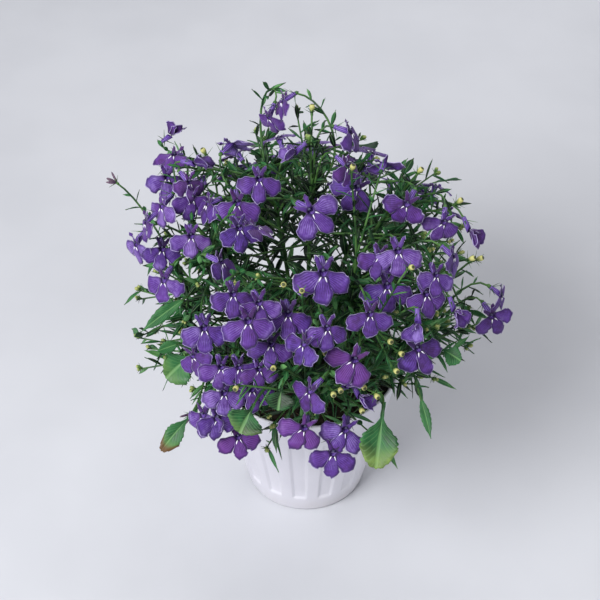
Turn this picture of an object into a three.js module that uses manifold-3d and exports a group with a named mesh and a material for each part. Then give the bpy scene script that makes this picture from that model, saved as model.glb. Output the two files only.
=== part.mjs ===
// A lobelia in a small white plastic pot: a dense mound of thin leafy stems and violet blooms.
// Millimetres, +Z up, the origin at the middle of the pot's underside, the front towards -Y.

import * as THREE from 'three';
import { mergeVertices } from 'three/addons/utils/BufferGeometryUtils.js';
import Module from 'manifold-3d';

const wasm = await Module();
wasm.setup();

// Pot
const potHeight = 66;
const rimRadius = 38;
const baseRadius = 24.7;
const potWall = 1.4;
const potFloor = 2.0;
const footRound = 1.6;
const lowerBandTop = 9.7;
const rimBandBottom = 51;
const bandStep = 0.7;
const panelCount = 16;
const potSides = 2 * panelCount;
const drainCount = 4;
const drainRadius = 3;
const drainRing = 14;

// Soil
const soilTop = 57;
const soilDome = 2.5;
const soilGap = 0.3;
const soilSides = 16;
const holeRadius = 1.6;
const holeDepth = 9;

// Crown: the outer surface that the blooms lie on, round about the pot's axis
const crownMid = 108;
const crownRadius = 76;
const crownTopHalf = 66;
const crownLowHalf = 48;
const crownFootRadius = 46;

// Blooms, buds and leaves
const lobeLength = 8.3;
const petalThick = 0.6;
const tubeLength = 6;
const tubeRadius = 1.2;
const tubeLean = 42;
const tubeSides = 3;
const throatShare = 1.1;
const throatDepth = 0.7;
const footShare = 0.75;
const seatGap = 0.4;
const stemRadius = 0.95;
const stemSteps = 7;
const stemRise = 34;
const stemSpread = 0.62;
const stemSpreadDrop = 14;
const branchBend = 26;
const branchRadius = 0.58;
const closedRadius = 1.7;
const closedStretch = 2.6;
const budStretch = 1.6;
const leafStations = 5;
const calyxSpread = 1.35;
const budRadius = 1.25;
const leafThick = 0.6;
const clearance = 0.35;
const groupContact = 12;
const contactSearch = 9;

// Small leaves: the shares of a stem where they sit, the longest in mm, and how much a blade droops
// for its length
const stemLeafShares = [0.45, 0.9];
const stemLeafLength = 17;
const leafDroop = 0.16;
const leafTurn = 2.4;
const leafForward = 0.62;
const leafOutward = 0.78;
const leastHalfWidth = 1.0;
const mostHalfWidth = 1.9;

// A small leaf tries this many places round its stalk, and the later ones are smaller
const leafTries = 8;
const leafTryTurn = 1.3;
const fullSizeTries = 5;
const lateLeafSize = 0.65;

// Outlines of broad and narrow leaves: the share of the length where they are widest, the width at
// the foot as a share of the widest, and the half width of a broad tip as such a share
const broadPeak = 0.66;
const narrowPeak = 0.45;
const leafFootWidth = 0.22;
const broadTipWidth = 0.3;

// Leafy shoots that fill the mound: how many on a stem, how thick and how long at most in mm, the
// shares of the stem that they spring from, where they end, and the leaf near the tip
const shootsPerStem = 4;
const shootRadius = 0.5;
const shootReach = 42;
const firstShootShare = 0.3;
const lastShootShare = 0.97;
const shootTries = 6;
const shootSpread = 2.6;
const shootRise = 34;
const shootDrop = 12;
const leastReach = 0.7;
const mostReach = 0.95;
const shootLeafShares = [0.97];
const shootLeafLength = 12;

// Depths tried in turn, in mm behind the crown's surface, until a piece lies clear
const bloomDepths = [0, 3, -3, 6, -6, 9, -9, 12, 15];
const closedDepths = [0, -3, 3, -6, 6, 9, 12];
const largeLeafDepths = [6, 10, 3, 14, 0, -4];
const budDepths = [0, -4, 4, 8, 12];

// The view that the front blooms are placed from: picture coordinates, in a picture 600 wide,
// seen from the front and above
const viewElevation = THREE.MathUtils.degToRad(43);
const viewDistance = 583.3;
const viewTarget = new THREE.Vector3(-2.5, 0, 97.8);
const viewFocal = 1500;
const viewMiddle = 300;

// Outer stems lean out all round, inner ones rise to the top
const stemRings = [
  { count: 7, firstAngle: -90, rootRing: 18, reach: 58, height: 104 },
  { count: 4, firstAngle: -65, rootRing: 9, reach: 42, height: 140 },
  { count: 1, firstAngle: 0, rootRing: 0, reach: 2, height: 158 },
];

// Front blooms by the group that holds together.
// Each is x, y, the way its lip points, the way its face is turned, how far, and its size.
const frontBlooms = {
  top_left: [[283, 101, 240, 170, 70, 0.9], [269, 117, 250, 215, 60, 0.9]],
  top_back: [[231, 144, 290, 90, 105, 1.0]],
  top_right: [[350, 132, 330, 20, 65, 1.0]],
  far_right_top: [[384, 163, 275, 90, 105, 0.95]],
  upper_right: [[347, 166, 290, 0, 55, 0.9], [357, 188, 235, 0, 15, 1.1]],
  left_top: [[174, 155, 258, 110, 40, 0.95], [167, 177, 270, 0, 15, 1.0]],
  left_upper: [[189, 182, 280, 0, 50, 0.9], [192, 198, 270, 330, 30, 1.0]],
  left_outer: [[162, 206, 250, 190, 45, 0.95], [146, 222, 250, 180, 65, 0.9]],
  left_tip: [[136, 244, 250, 200, 55, 0.95], [162, 249, 265, 0, 15, 0.95]],
  left_middle: [[191, 236, 270, 0, 10, 0.95]],
  left_low: [[164, 280, 260, 200, 30, 1.0]],
  centre_upper: [[208, 204, 240, 160, 60, 0.9], [237, 203, 268, 0, 10, 1.1]],
  centre_left: [[239, 228, 280, 0, 20, 1.0], [256, 227, 290, 60, 70, 0.9]],
  centre_side: [[221, 262, 300, 20, 60, 0.95]],
  centre_top: [[259, 179, 270, 0, 10, 1.0]],
  centre: [[311, 211, 320, 0, 10, 1.2]],
  largest: [[323, 273, 268, 0, 8, 1.3]],
  right_upper: [[379, 256, 262, 0, 20, 0.95], [398, 251, 275, 0, 10, 1.1]],
  right_middle: [[387, 286, 270, 0, 10, 1.15]],
  right_top: [[407, 204, 240, 240, 25, 1.0]],
  right_outer: [[436, 275, 265, 0, 25, 0.95], [426, 294, 280, 0, 20, 1.0]],
  right_side: [[453, 256, 300, 0, 65, 0.9]],
  far_right: [[444, 222, 250, 300, 30, 0.95]],
  far_right_tip: [[492, 316, 300, 310, 25, 1.0], [501, 295, 330, 350, 65, 0.85]],
  right_low: [[418, 349, 300, 0, 15, 1.1]],
  middle_left: [[204, 328, 275, 0, 8, 1.1], [193, 356, 290, 200, 40, 0.9]],
  middle: [[233, 294, 270, 0, 15, 1.0], [259, 303, 280, 0, 15, 1.0], [248, 321, 270, 0, 8, 1.15]],
  middle_front: [[288, 314, 270, 0, 8, 1.1]],
  middle_low: [[271, 344, 265, 0, 15, 1.0]],
  middle_right: [[304, 344, 230, 180, 40, 0.95], [327, 328, 275, 0, 20, 1.0]],
  right_front: [[370, 314, 270, 0, 12, 1.0]],
  low_right: [[354, 360, 235, 0, 10, 1.15]],
  low_middle: [[310, 391, 235, 190, 40, 1.0]],
  low_dark: [[221, 367, 265, 0, 20, 0.95], [239, 367, 280, 0, 20, 0.95], [259, 369, 270, 0, 25, 0.9]],
  low_left: [[252, 389, 272, 0, 8, 1.05], [224, 393, 268, 0, 15, 1.0]],
  low_outer: [[203, 415, 262, 200, 32, 1.0], [217, 418, 275, 340, 30, 1.0]],
  over_left_rim: [[238, 437, 280, 0, 15, 1.0]],
  over_rim: [[304, 428, 240, 0, 10, 1.05]],
  over_pot: [[345, 430, 245, 0, 10, 1.1], [333, 453, 265, 0, 8, 1.1]],
};

// Half closed blooms, fused to their stems
const closedBlooms = [
  [296, 152, 250, 180, 60, 0.8], [170, 136, 250, 60, 75, 0.85], [194, 164, 290, 30, 70, 0.85],
  [454, 310, 300, 320, 70, 0.85], [469, 230, 290, 330, 65, 0.85], [418, 323, 270, 250, 60, 0.85],
  [346, 387, 270, 70, 60, 0.8], [359, 396, 290, 340, 60, 0.8],
];
const closedFold = 62;

// Blooms of the far side, in threes, placed as if seen from behind: x, y, and how far they meet
const backCentres = [
  [180, 404, 5], [250, 420, 5], [322, 416, 5], [380, 412, 5],
  [214, 446, 5], [286, 462, 10], [358, 452, 9],
];
const backTrio = [[0, -10], [-14, 8], [14, 8]];

// Front buds, then narrow and broad leaves: root, tip, half width, and how far the blade droops
const frontBuds = [
  [312, 110], [205, 153], [419, 172], [458, 202], [478, 259], [361, 324], [395, 370],
  [274, 367], [376, 395], [114, 181], [189, 416],
];
const largeLeaves = [
  [384, 402, 376, 469, 6.6, 3], [183, 300, 141, 332, 2.4, 2], [178, 344, 156, 352, 2.2, 1],
  [196, 352, 166, 378, 6.2, 2], [196, 410, 161, 451, 3.4, 3], [254, 404, 240, 433, 6.5, 2],
  [421, 399, 431, 439, 1.8, 2], [438, 347, 461, 361, 3.4, 1], [282, 385, 278, 410, 5.0, 1],
];
const backLeaves = [
  [252, 398, 226, 446, 6.2, 3], [352, 402, 374, 444, 5.6, 3], [160, 352, 128, 372, 2.4, 2],
  [436, 344, 468, 366, 3.0, 2],
];
const leafSeed = 7331;

const materials = {
  pot: new THREE.MeshStandardMaterial({ color: 0xe9e7ef, roughness: 0.42, metalness: 0 }),
  soil: new THREE.MeshStandardMaterial({ color: 0x1d1713, roughness: 0.95, metalness: 0 }),
  leaf: new THREE.MeshStandardMaterial({ color: 0x2f7a33, roughness: 0.55, metalness: 0 }),
  bloom: new THREE.MeshStandardMaterial({ color: 0x4a2fae, roughness: 0.6, metalness: 0 }),
};

const object = new THREE.Group();

// Solids

function indexed(geometry) {
  const bare = geometry.clone();
  bare.deleteAttribute('normal');
  bare.deleteAttribute('uv');
  const merged = mergeVertices(bare, 1e-4);
  const corners = merged.index.array;
  const kept = [];
  for (let i = 0; i < corners.length; i += 3) {
    const [a, b, c] = corners.subarray(i, i + 3);
    if (a !== b && b !== c && c !== a) {
      kept.push(a, b, c);
    }
  }
  merged.setIndex(kept);
  return merged;
}

function solid(geometry) {
  const merged = indexed(geometry);
  const mesh = new wasm.Mesh({
    numProp: 3,
    vertProperties: new Float32Array(merged.attributes.position.array),
    triVerts: new Uint32Array(merged.index.array),
  });
  return new wasm.Manifold(mesh);
}

function geometryOf(body) {
  const mesh = body.getMesh();
  const geometry = new THREE.BufferGeometry();
  geometry.setAttribute('position', new THREE.BufferAttribute(new Float32Array(mesh.vertProperties), 3));
  geometry.setIndex(new THREE.BufferAttribute(new Uint32Array(mesh.triVerts), 1));
  geometry.computeVertexNormals();
  return geometry;
}

function addPiece(name, body, material) {
  const mesh = new THREE.Mesh(geometryOf(body), material);
  mesh.name = name;
  object.add(mesh);
}

function joined(bodies) {
  return bodies.reduce((sum, body) => sum.add(body));
}

// A hollow that joining seals is filled, and a loose scrap is dropped
function wholeOf(body) {
  return body.decompose().reduce((most, piece) => (piece.volume() > most.volume() ? piece : most));
}

function reshape(geometry, place) {
  const position = geometry.attributes.position;
  const point = new THREE.Vector3();
  for (let i = 0; i < position.count; i += 1) {
    point.fromBufferAttribute(position, i);
    place(point);
    position.setXYZ(i, point.x, point.y, point.z);
  }
  return geometry;
}

// Pot and soil

function potRadius(z) {
  return baseRadius + (rimRadius - baseRadius) * (z / potHeight);
}

function turned(profile, sides) {
  const points = profile.map(([radius, z]) => new THREE.Vector2(radius, z));
  return new THREE.LatheGeometry(points, sides).rotateX(Math.PI / 2);
}

function potBody() {
  const inner = (z) => potRadius(z) - potWall - bandStep;
  const shell = solid(turned([
    [0, 0],
    [baseRadius - footRound * 0.6, 0],
    [potRadius(footRound), footRound],
    [potRadius(lowerBandTop), lowerBandTop],
    [potRadius(lowerBandTop) - bandStep, lowerBandTop + bandStep],
    [potRadius(rimBandBottom) - bandStep, rimBandBottom - bandStep],
    [potRadius(rimBandBottom), rimBandBottom],
    [rimRadius, potHeight],
    [rimRadius - potWall, potHeight],
    [inner(potFloor), potFloor],
    [0, potFloor],
  ], potSides));
  const panels = [];
  for (let i = 0; i < panelCount; i += 1) {
    panels.push(panel((2 * i + 0.5) * 2 * Math.PI / potSides));
  }
  const drains = [];
  for (let i = 0; i < drainCount; i += 1) {
    const angle = (i + 0.5) * 2 * Math.PI / drainCount;
    const drain = new THREE.CylinderGeometry(drainRadius, drainRadius, potFloor * 3, 8).rotateX(Math.PI / 2);
    drains.push(solid(drain.translate(drainRing * Math.cos(angle), drainRing * Math.sin(angle), 0)));
  }
  return joined([shell, ...panels]).subtract(joined(drains));
}

function panel(angle) {
  const low = lowerBandTop - bandStep;
  const high = rimBandBottom + bandStep;
  const half = Math.PI / potSides * 0.97;
  return solid(reshape(new THREE.BoxGeometry(1, 1, 1), (point) => {
    const z = point.z > 0 ? high : low;
    const radius = potRadius(z) + (point.x > 0 ? -bandStep * 0.15 : -bandStep - potWall * 0.4);
    const turn = angle + point.y * 2 * half;
    point.set(radius * Math.cos(turn), radius * Math.sin(turn), z);
  }));
}

function soilBody(roots) {
  const edge = (z) => potRadius(z) - potWall - bandStep - soilGap;
  const low = potFloor + soilGap;
  const heap = solid(turned([
    [0, low],
    [edge(low), low],
    [edge(soilTop), soilTop],
    [edge(soilTop) * 0.55, soilTop + soilDome * 0.8],
    [0, soilTop + soilDome],
  ], soilSides));
  const holes = roots.map((root) => {
    const hole = new THREE.CylinderGeometry(holeRadius, holeRadius, holeDepth * 2, 6).rotateX(Math.PI / 2);
    return solid(hole.translate(root.x, root.y, soilTop + soilDome));
  });
  return heap.subtract(joined(holes));
}

// Clearance between pieces: each is followed by small spheres

const cellSize = 5;
const cells = new Map();

function cellOf(point, stepX, stepY, stepZ) {
  const x = Math.floor(point.x / cellSize) + stepX + 100;
  const y = Math.floor(point.y / cellSize) + stepY + 100;
  const z = Math.floor(point.z / cellSize) + stepZ + 100;
  return (x * 1000 + y) * 1000 + z;
}

function potRoom(point, radius) {
  if (point.z > potHeight) {
    const over = Math.hypot(point.x, point.y);
    const side = Math.max(over - rimRadius, rimRadius - potWall - over, 0);
    return Math.hypot(side, point.z - potHeight) - radius;
  }
  const across = Math.hypot(point.x, point.y);
  const outside = across - potRadius(point.z) - radius;
  const above = point.z - soilTop - soilDome - radius;
  const inside = Math.min(potRadius(point.z) - potWall - bandStep - across - radius, above);
  return Math.max(outside, inside);
}

function sphereRoom(one, owner, blooming) {
  let least = one.buried ? cellSize : Math.min(cellSize, potRoom(one.at, one.radius));
  for (let x = -1; x <= 1; x += 1) {
    for (let y = -1; y <= 1; y += 1) {
      for (let z = -1; z <= 1; z += 1) {
        for (const other of cells.get(cellOf(one.at, x, y, z)) ?? []) {
          const heeded = !other.reserve || (blooming && !one.reserve);
          const apart = other.owner !== owner && other.partner !== owner && one.partner !== other.owner;
          if (heeded && apart) {
            least = Math.min(least, one.at.distanceTo(other.at) - one.radius - other.radius);
          }
        }
      }
    }
  }
  return least;
}

function room(trial, owner, enough) {
  const blooming = owner.startsWith('bloom');
  let least = cellSize;
  for (const one of trial) {
    least = Math.min(least, sphereRoom(one, owner, blooming));
    if (least <= enough) {
      break;
    }
  }
  return least;
}

function firstClear(trials, owner) {
  let best = null;
  let bestRoom = -Infinity;
  for (const trial of trials) {
    const found = room(trial.spheres, owner, bestRoom);
    if (found > bestRoom) {
      best = trial;
      bestRoom = found;
    }
    if (found >= clearance) {
      break;
    }
  }
  return { trial: best, clear: bestRoom >= clearance, room: bestRoom };
}

function keep(trial, owner) {
  for (const one of trial.spheres) {
    const cell = cellOf(one.at, 0, 0, 0);
    if (!cells.has(cell)) {
      cells.set(cell, []);
    }
    cells.get(cell).push({ ...one, owner });
  }
}

// Draws that come out alike each time

function draws(seed) {
  let state = seed >>> 0;
  return () => {
    state = (Math.imul(state, 1664525) + 1013904223) >>> 0;
    return state / 4294967296;
  };
}

// The view

const toEye = new THREE.Vector3(0, -Math.cos(viewElevation), Math.sin(viewElevation));
const viewUp = new THREE.Vector3(0, Math.sin(viewElevation), Math.cos(viewElevation));
const viewRight = new THREE.Vector3(1, 0, 0);
const viewEye = viewTarget.clone().addScaledVector(toEye, viewDistance);

function seenAt(x, y, depth) {
  const scale = depth / viewFocal;
  return viewEye.clone()
    .addScaledVector(toEye, -depth)
    .addScaledVector(viewRight, (x - viewMiddle) * scale)
    .addScaledVector(viewUp, (viewMiddle - y) * scale);
}

function crownShare(point) {
  const half = point.z > crownMid ? crownTopHalf : crownLowHalf;
  const height = Math.min(1, Math.abs(point.z - crownMid) / half);
  const bulge = Math.sqrt(1 - height * height);
  const radius = point.z > crownMid
    ? crownRadius * bulge
    : crownFootRadius + (crownRadius - crownFootRadius) * bulge;
  return Math.hypot(point.x, point.y) / Math.max(radius, 1);
}

function crownDepth(x, y) {
  let bestDepth = 0;
  let bestShare = Infinity;
  for (let depth = viewDistance - 110; depth < viewDistance + 110; depth += 1) {
    const share = crownShare(seenAt(x, y, depth));
    if (share < bestShare) {
      bestShare = share;
      bestDepth = depth;
    }
    if (share <= 1) {
      break;
    }
  }
  return bestDepth;
}

// Blooms

// Outline of the five lobes: the angle from the middle of the lip, and the share of its length
const outline = [
  [-82, 0.94], [-44, 0.98], [-31, 0.4], [-20, 1.0], [20, 1.0], [31, 0.4], [44, 0.98], [82, 0.94],
  [112, 0.3], [152, 0.72], [180, 0.22], [208, 0.72], [248, 0.3],
];

function lobeRise(share, upper) {
  return upper ? 1.8 * share * share : share - 1.9 * share * share;
}

function bloomFrame(lip, face, tilt) {
  const turn = THREE.MathUtils.degToRad(tilt);
  const away = THREE.MathUtils.degToRad(face);
  const hang = THREE.MathUtils.degToRad(lip);
  const axis = toEye.clone().multiplyScalar(Math.cos(turn))
    .addScaledVector(viewRight, Math.sin(turn) * Math.cos(away))
    .addScaledVector(viewUp, Math.sin(turn) * Math.sin(away));
  const down = viewRight.clone().multiplyScalar(Math.cos(hang)).addScaledVector(viewUp, Math.sin(hang));
  return frameFrom(axis, down);
}

function frameFrom(axis, down) {
  const lip = down.clone().addScaledVector(axis, -down.dot(axis)).normalize();
  const side = axis.clone().cross(lip);
  return new THREE.Matrix4().makeBasis(lip, side, axis);
}

const lean = THREE.MathUtils.degToRad(tubeLean);
const tubeAxis = new THREE.Vector3(Math.sin(lean), 0, Math.cos(lean));
const tubeAcross = new THREE.Vector3(Math.cos(lean), 0, -Math.sin(lean));

// Spheres over a lobe: share of its length, degrees off its middle, radius
const lobeCover = [
  [0.35, 0, 1.3], [0.62, -9, 1.4], [0.62, 9, 1.4], [0.9, -15, 1.4], [0.9, 15, 1.4], [0.85, 0, 1.4],
];

function bloomSpheres(bloom) {
  const found = [];
  const add = (point, radius) => {
    const at = point.multiplyScalar(bloom.size).applyMatrix4(bloom.frame).add(bloom.at);
    found.push({ at, radius: radius * bloom.size });
  };
  for (const angle of [-64, 0, 64]) {
    for (const [reach, off, radius] of lobeCover) {
      add(lobePoint(angle + off, reach, 0, bloom.fold), radius);
    }
  }
  for (const angle of [152, 208]) {
    for (const reach of [0.35, 0.6]) {
      add(lobePoint(angle, reach, 0, bloom.fold), 0.8);
    }
  }
  for (const [back, radius] of [[1.2, 1.3], [3.2, 1.2], [5, 1.0]]) {
    add(tubeAxis.clone().multiplyScalar(-back), radius);
  }
  // Room kept for the stalk behind the tube, which only other blooms heed
  for (const back of [7.5, 10, 12.5]) {
    add(tubeAxis.clone().multiplyScalar(-back), 0.8);
    found[found.length - 1].reserve = true;
  }
  return found;
}

function bloomBody(bloom) {
  const columns = outline.length;
  const body = reshape(new THREE.CylinderGeometry(1, 1, 3, columns, 3), (point) => {
    const row = Math.round(1.5 - point.y);
    const turn = Math.atan2(point.x, point.z) / (2 * Math.PI);
    const [angle, share] = outline[(Math.round(turn * columns) + columns) % columns];
    const middle = Math.hypot(point.x, point.z) < 0.5;
    if (row < 2) {
      const level = row === 0 ? petalThick / 2 : -petalThick / 2;
      point.copy(middle ? new THREE.Vector3(0, 0, level - 0.3) : lobePoint(angle, share, level, bloom.fold));
      return;
    }
      const radius = middle ? 0 : tubeRadius * (row === 2 ? throatShare : footShare);
    const around = Math.round(angle * tubeSides / 360) * 2 * Math.PI / tubeSides;
    const back = row === 2 ? throatDepth : tubeLength;
    const across = row === 2 ? new THREE.Vector3(1, 0, 0) : tubeAcross;
    point.copy(tubeAxis).multiplyScalar(-back).addScaledVector(across, radius * Math.cos(around));
    point.y += radius * Math.sin(around);
  });
  const place = bloom.frame.clone().setPosition(bloom.at);
  place.scale(new THREE.Vector3(bloom.size, bloom.size, bloom.size));
  return solid(body.applyMatrix4(place));
}

function lobePoint(angle, share, level, fold) {
  const around = THREE.MathUtils.degToRad(angle);
  const upper = angle > 112 && angle < 248;
  const lift = THREE.MathUtils.degToRad(fold);
  const far = share * lobeLength;
  const rise = lobeRise(share, upper) + level;
  const out = far * Math.cos(lift) - rise * Math.sin(lift);
  const up = far * Math.sin(lift) + rise * Math.cos(lift);
  return new THREE.Vector3(out * Math.cos(around), out * Math.sin(around), up);
}

function tubeFoot(bloom, beyond) {
  const back = tubeAxis.clone().multiplyScalar(-tubeLength * bloom.size - beyond);
  return back.applyMatrix4(bloom.frame).add(bloom.at);
}

function tubeWay(bloom) {
  return tubeAxis.clone().applyMatrix4(bloom.frame);
}

function seenBloom([x, y, lip, face, tilt, size], depth, fold) {
  return { at: seenAt(x, y, depth), frame: bloomFrame(lip, face, tilt), size, fold };
}

function contact(bloom, others) {
  let sum = 0;
  const near = others.flatMap(bloomSpheres);
  for (const one of bloomSpheres(bloom)) {
    for (const other of near.filter((each) => !each.reserve && !one.reserve)) {
      sum += Math.max(0, one.radius + other.radius - one.at.distanceTo(other.at));
    }
  }
  return sum;
}

// Each bloom of a group lies at the depth where it meets the others
function seenGroup(rows, lift, meeting) {
  const blooms = [];
  const depth = lift + rows.reduce((sum, [x, y]) => sum + crownDepth(x, y), 0) / rows.length;
  for (const row of rows) {
    let best = seenBloom(row, depth, 0);
    let least = Infinity;
    for (let step = -contactSearch; step <= contactSearch && blooms.length > 0; step += 1) {
      const trial = seenBloom(row, depth + step, 0);
      const miss = Math.abs(contact(trial, blooms) - meeting);
      if (miss < least) {
        least = miss;
        best = trial;
      }
    }
    blooms.push(best);
  }
  return blooms;
}

function placeFrontBlooms() {
  const groups = [];
  for (const [name, rows] of Object.entries(frontBlooms)) {
    const trials = bloomDepths.map((lift) => {
      const blooms = seenGroup(rows, lift, groupContact);
      return { blooms, spheres: blooms.flatMap(bloomSpheres) };
    });
    groups.push(settleGroup(name, trials));
  }
  return groups;
}

function placeBackBlooms() {
  const groups = [];
  const draw = draws(leafSeed + 7);
  backCentres.forEach(([x, y, meeting], index) => {
    const rows = backTrio.map(([across, down]) => {
      const lip = 270 + 50 * (draw() - 0.5);
      const face = THREE.MathUtils.radToDeg(Math.atan2(-down, across)) + 40 * (draw() - 0.5);
      return [x + across, y + down, lip, face, 22 + 16 * draw(), 0.9 + 0.2 * draw()];
    });
    const trials = bloomDepths.slice(0, 7).map((lift) => {
      const blooms = seenGroup(rows, lift, meeting).map(turnedRound);
      return { blooms, spheres: blooms.flatMap(bloomSpheres) };
    });
    groups.push(settleGroup(`back_${index + 1}`, trials));
  });
  return groups;
}

// Half a turn about the pot's axis, from the front to the back
const halfTurn = new THREE.Matrix4().makeRotationZ(Math.PI);

function turnedRound(bloom) {
  return {
    ...bloom,
    at: bloom.at.clone().applyMatrix4(halfTurn),
    frame: halfTurn.clone().multiply(bloom.frame),
  };
}

function settleGroup(name, trials) {
  const owner = `bloom_${name}`;
  const { trial } = firstClear(trials, owner);
  keep(trial, owner);
  return { owner, blooms: trial.blooms };
}

// Stems

function stemCurve(angle, ring) {
  const cos = Math.cos(angle);
  const sin = Math.sin(angle);
  const foot = soilTop + soilDome - holeDepth + seatGap;
  const root = new THREE.Vector3(ring.rootRing * cos, ring.rootRing * sin, foot);
  const rise = new THREE.Vector3(ring.rootRing * cos, ring.rootRing * sin, foot + stemRise);
  const over = ring.reach * stemSpread;
  const spread = new THREE.Vector3(over * cos, over * sin, ring.height - stemSpreadDrop);
  const end = new THREE.Vector3(ring.reach * cos, ring.reach * sin, ring.height);
  return new THREE.CubicBezierCurve3(root, rise, spread, end);
}

// Spheres along the straight lengths that a curve is built from, past a share of it
const coverMargin = 0.1;
const coverStep = 1.3;

function curveSpheres(curve, steps, radius, from, partner) {
  const points = curve.getSpacedPoints(steps);
  const count = Math.ceil(curve.getLength() / coverStep);
  const found = [];
  for (let i = 0; i <= count; i += 1) {
    const share = from + (1 - from) * i / count;
    const step = Math.min(steps - 1, Math.floor(share * steps));
    const at = points[step].clone().lerp(points[step + 1], share * steps - step);
    found.push({ at, radius, partner: i === count ? partner : undefined });
  }
  return found;
}

function tubeAlong(curve, radius, sides, steps) {
  const shape = new THREE.Shape();
  for (let i = 0; i < sides; i += 1) {
    const angle = i * 2 * Math.PI / sides;
    const step = i === 0 ? 'moveTo' : 'lineTo';
    shape[step](radius * Math.cos(angle), radius * Math.sin(angle));
  }
  return new THREE.ExtrudeGeometry(shape, { steps, extrudePath: curve, bevelEnabled: false });
}

function flaredEnd(geometry, end, radius) {
  return reshape(geometry, (point) => {
    if (point.distanceTo(end) < radius * 1.2) {
      point.sub(end).multiplyScalar(calyxSpread).add(end);
    }
  });
}

function stemsNear(point) {
  const gap = (stem) => stem.curve.getPoint(1).distanceTo(point);
  return [...stems].sort((one, other) => gap(one) - gap(other));
}

// The middle of the crown, that stalks point away from
const heart = new THREE.Vector3(0, 0, crownMid - 12);

// How far back from the nearest place on the stem a branch springs, as shares of the stem, the first
// and last share that bear branches, and the handles of its curve
const branchStarts = [0.22, 0.1, 0.36];
const firstBranchShare = 0.3;
const lastBranchShare = 0.94;
const branchHandle = 0.16;
const bowGrowth = 1.5;

// Handle at the far end as a share of the branch, and how far it turns away from the heart
const arrivals = [[0.3, 0], [0.3, 0.6], [0.12, 0], [0.12, 0.6], [0.2, 1.2]];

// The first length of a branch lies in its stem, in mm, or at most this share of it
const buriedLength = 2.5;
const buriedShare = 0.5;

// Ways to bend a branch, in mm: outwards, upwards and sideways
const bows = [
  [0, 0, 0], [6, 0, 0], [0, 6, 0], [0, 0, 6], [0, 0, -6], [10, 6, 0], [0, 12, 0], [0, 0, 12],
  [0, 0, -12], [6, 8, 8], [6, 8, -8], [14, 14, 0], [-6, 6, 0], [-6, 0, 8], [-6, 0, -8],
];

function* branchTrials(stem, end, way, partner) {
  let near = 0;
  for (let i = 0; i <= 20; i += 1) {
    const share = i / 20;
    if (stem.curve.getPoint(share).distanceTo(end) < stem.curve.getPoint(near).distanceTo(end)) {
      near = share;
    }
  }
  const out = new THREE.Vector3(end.x, end.y, 0).normalize();
  const side = new THREE.Vector3(-out.y, out.x, 0);
  const fromHeart = end.clone().sub(heart).normalize();
  for (const back of branchStarts) {
    const from = THREE.MathUtils.clamp(near - back, firstBranchShare, lastBranchShare);
    const start = stem.curve.getPoint(from);
    const along = stem.curve.getTangent(from);
    const span = start.distanceTo(end);
    for (const [outward, upward, sideways] of bows) {
      const bow = out.clone().multiplyScalar(outward).addScaledVector(side, sideways);
      bow.z += upward;
      const ahead = start.clone().addScaledVector(along, span * branchHandle);
      const first = ahead.lerp(end, branchHandle).addScaledVector(bow, bowGrowth);
      for (const [handle, inward] of arrivals) {
        const arrival = way.clone().addScaledVector(fromHeart, inward).normalize();
        const second = end.clone().addScaledVector(arrival, -span * handle);
        const curve = new THREE.CubicBezierCurve3(start, first, second, end);
        const skip = Math.min(buriedShare, buriedLength / span);
        const steps = span > branchBend ? 3 : 2;
        const spheres = curveSpheres(curve, steps, branchRadius + coverMargin, skip, partner);
        yield { curve, steps, spheres };
      }
    }
  }
}

// The branch springs from the first of these stems that it reaches clear of all else
function addBranch(choices, end, way, partner) {
  let best = null;
  for (const stem of choices) {
    const found = firstClear(branchTrials(stem, end, way, partner), stem.owner);
    if (best === null || found.room > best.room) {
      best = { ...found, stem };
    }
    if (found.clear) {
      break;
    }
  }
  keep(best.trial, best.stem.owner);
  best.stem.branches.push(best.trial);
  return best.stem;
}

function addClosedBloom(row) {
  const trials = closedDepths.map((lift) => {
    const bloom = seenBloom(row, crownDepth(row[0], row[1]) + lift, closedFold);
    return { bloom, spheres: bloomSpheres(bloom) };
  });
  const { trial } = firstClear(trials, 'none');
  const way = tubeWay(trial.bloom);
  const end = tubeFoot(trial.bloom, -0.6);
  const stem = addBranch(stemsNear(end).slice(0, 4), end, way, undefined);
  keep(trial, stem.owner);
  stem.closed.push({ at: tubeFoot(trial.bloom, -3), way });
}

// Leaves

function leafBody(leaf) {
  const { root, way, side, length, half, droop } = leaf;
  const face = way.clone().cross(side);
  return solid(reshape(new THREE.BoxGeometry(1, 1, 1, leafStations, 1, 1), (point) => {
    const share = point.x + 0.5;
    const wide = half * leafWidth(share, leaf.broad);
    const at = root.clone().addScaledVector(way, share * length);
    at.z -= droop * share * share;
    at.addScaledVector(side, point.y * 2 * wide).addScaledVector(face, point.z * leafThick);
    point.copy(at);
  }));
}

// A narrow blade with a keel below: a point at each end, widest at the middle
function smallLeafBody(leaf) {
  const { root, way, side, length, half, droop } = leaf;
  const under = side.clone().cross(way);
  return solid(reshape(new THREE.CylinderGeometry(1, 1, 1, 3, 2), (point) => {
    const share = point.y + 0.5;
    const middle = Math.abs(point.y) < 0.25 && Math.hypot(point.x, point.z) > 0.5;
    const across = middle ? half * point.x / Math.sin(Math.PI / 3) : 0;
    const below = middle ? leafThick * (point.z > 0.5 ? 0.5 : -0.5) : 0;
    const at = root.clone().addScaledVector(way, share * length);
    at.z -= droop * share * share;
    point.copy(at.addScaledVector(side, across).addScaledVector(under, below));
  }));
}

function leafWidth(share, broad) {
  if (share > 0.999) {
    return broad ? broadTipWidth : 0;
  }
  const peak = broad ? broadPeak : narrowPeak;
  const along = share < peak ? share / peak : (1 - share) / (1 - peak);
  const full = leafFootWidth + (1 - leafFootWidth) * Math.sin(along * Math.PI / 2);
  return share < 0.001 ? 0 : full;
}

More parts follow.
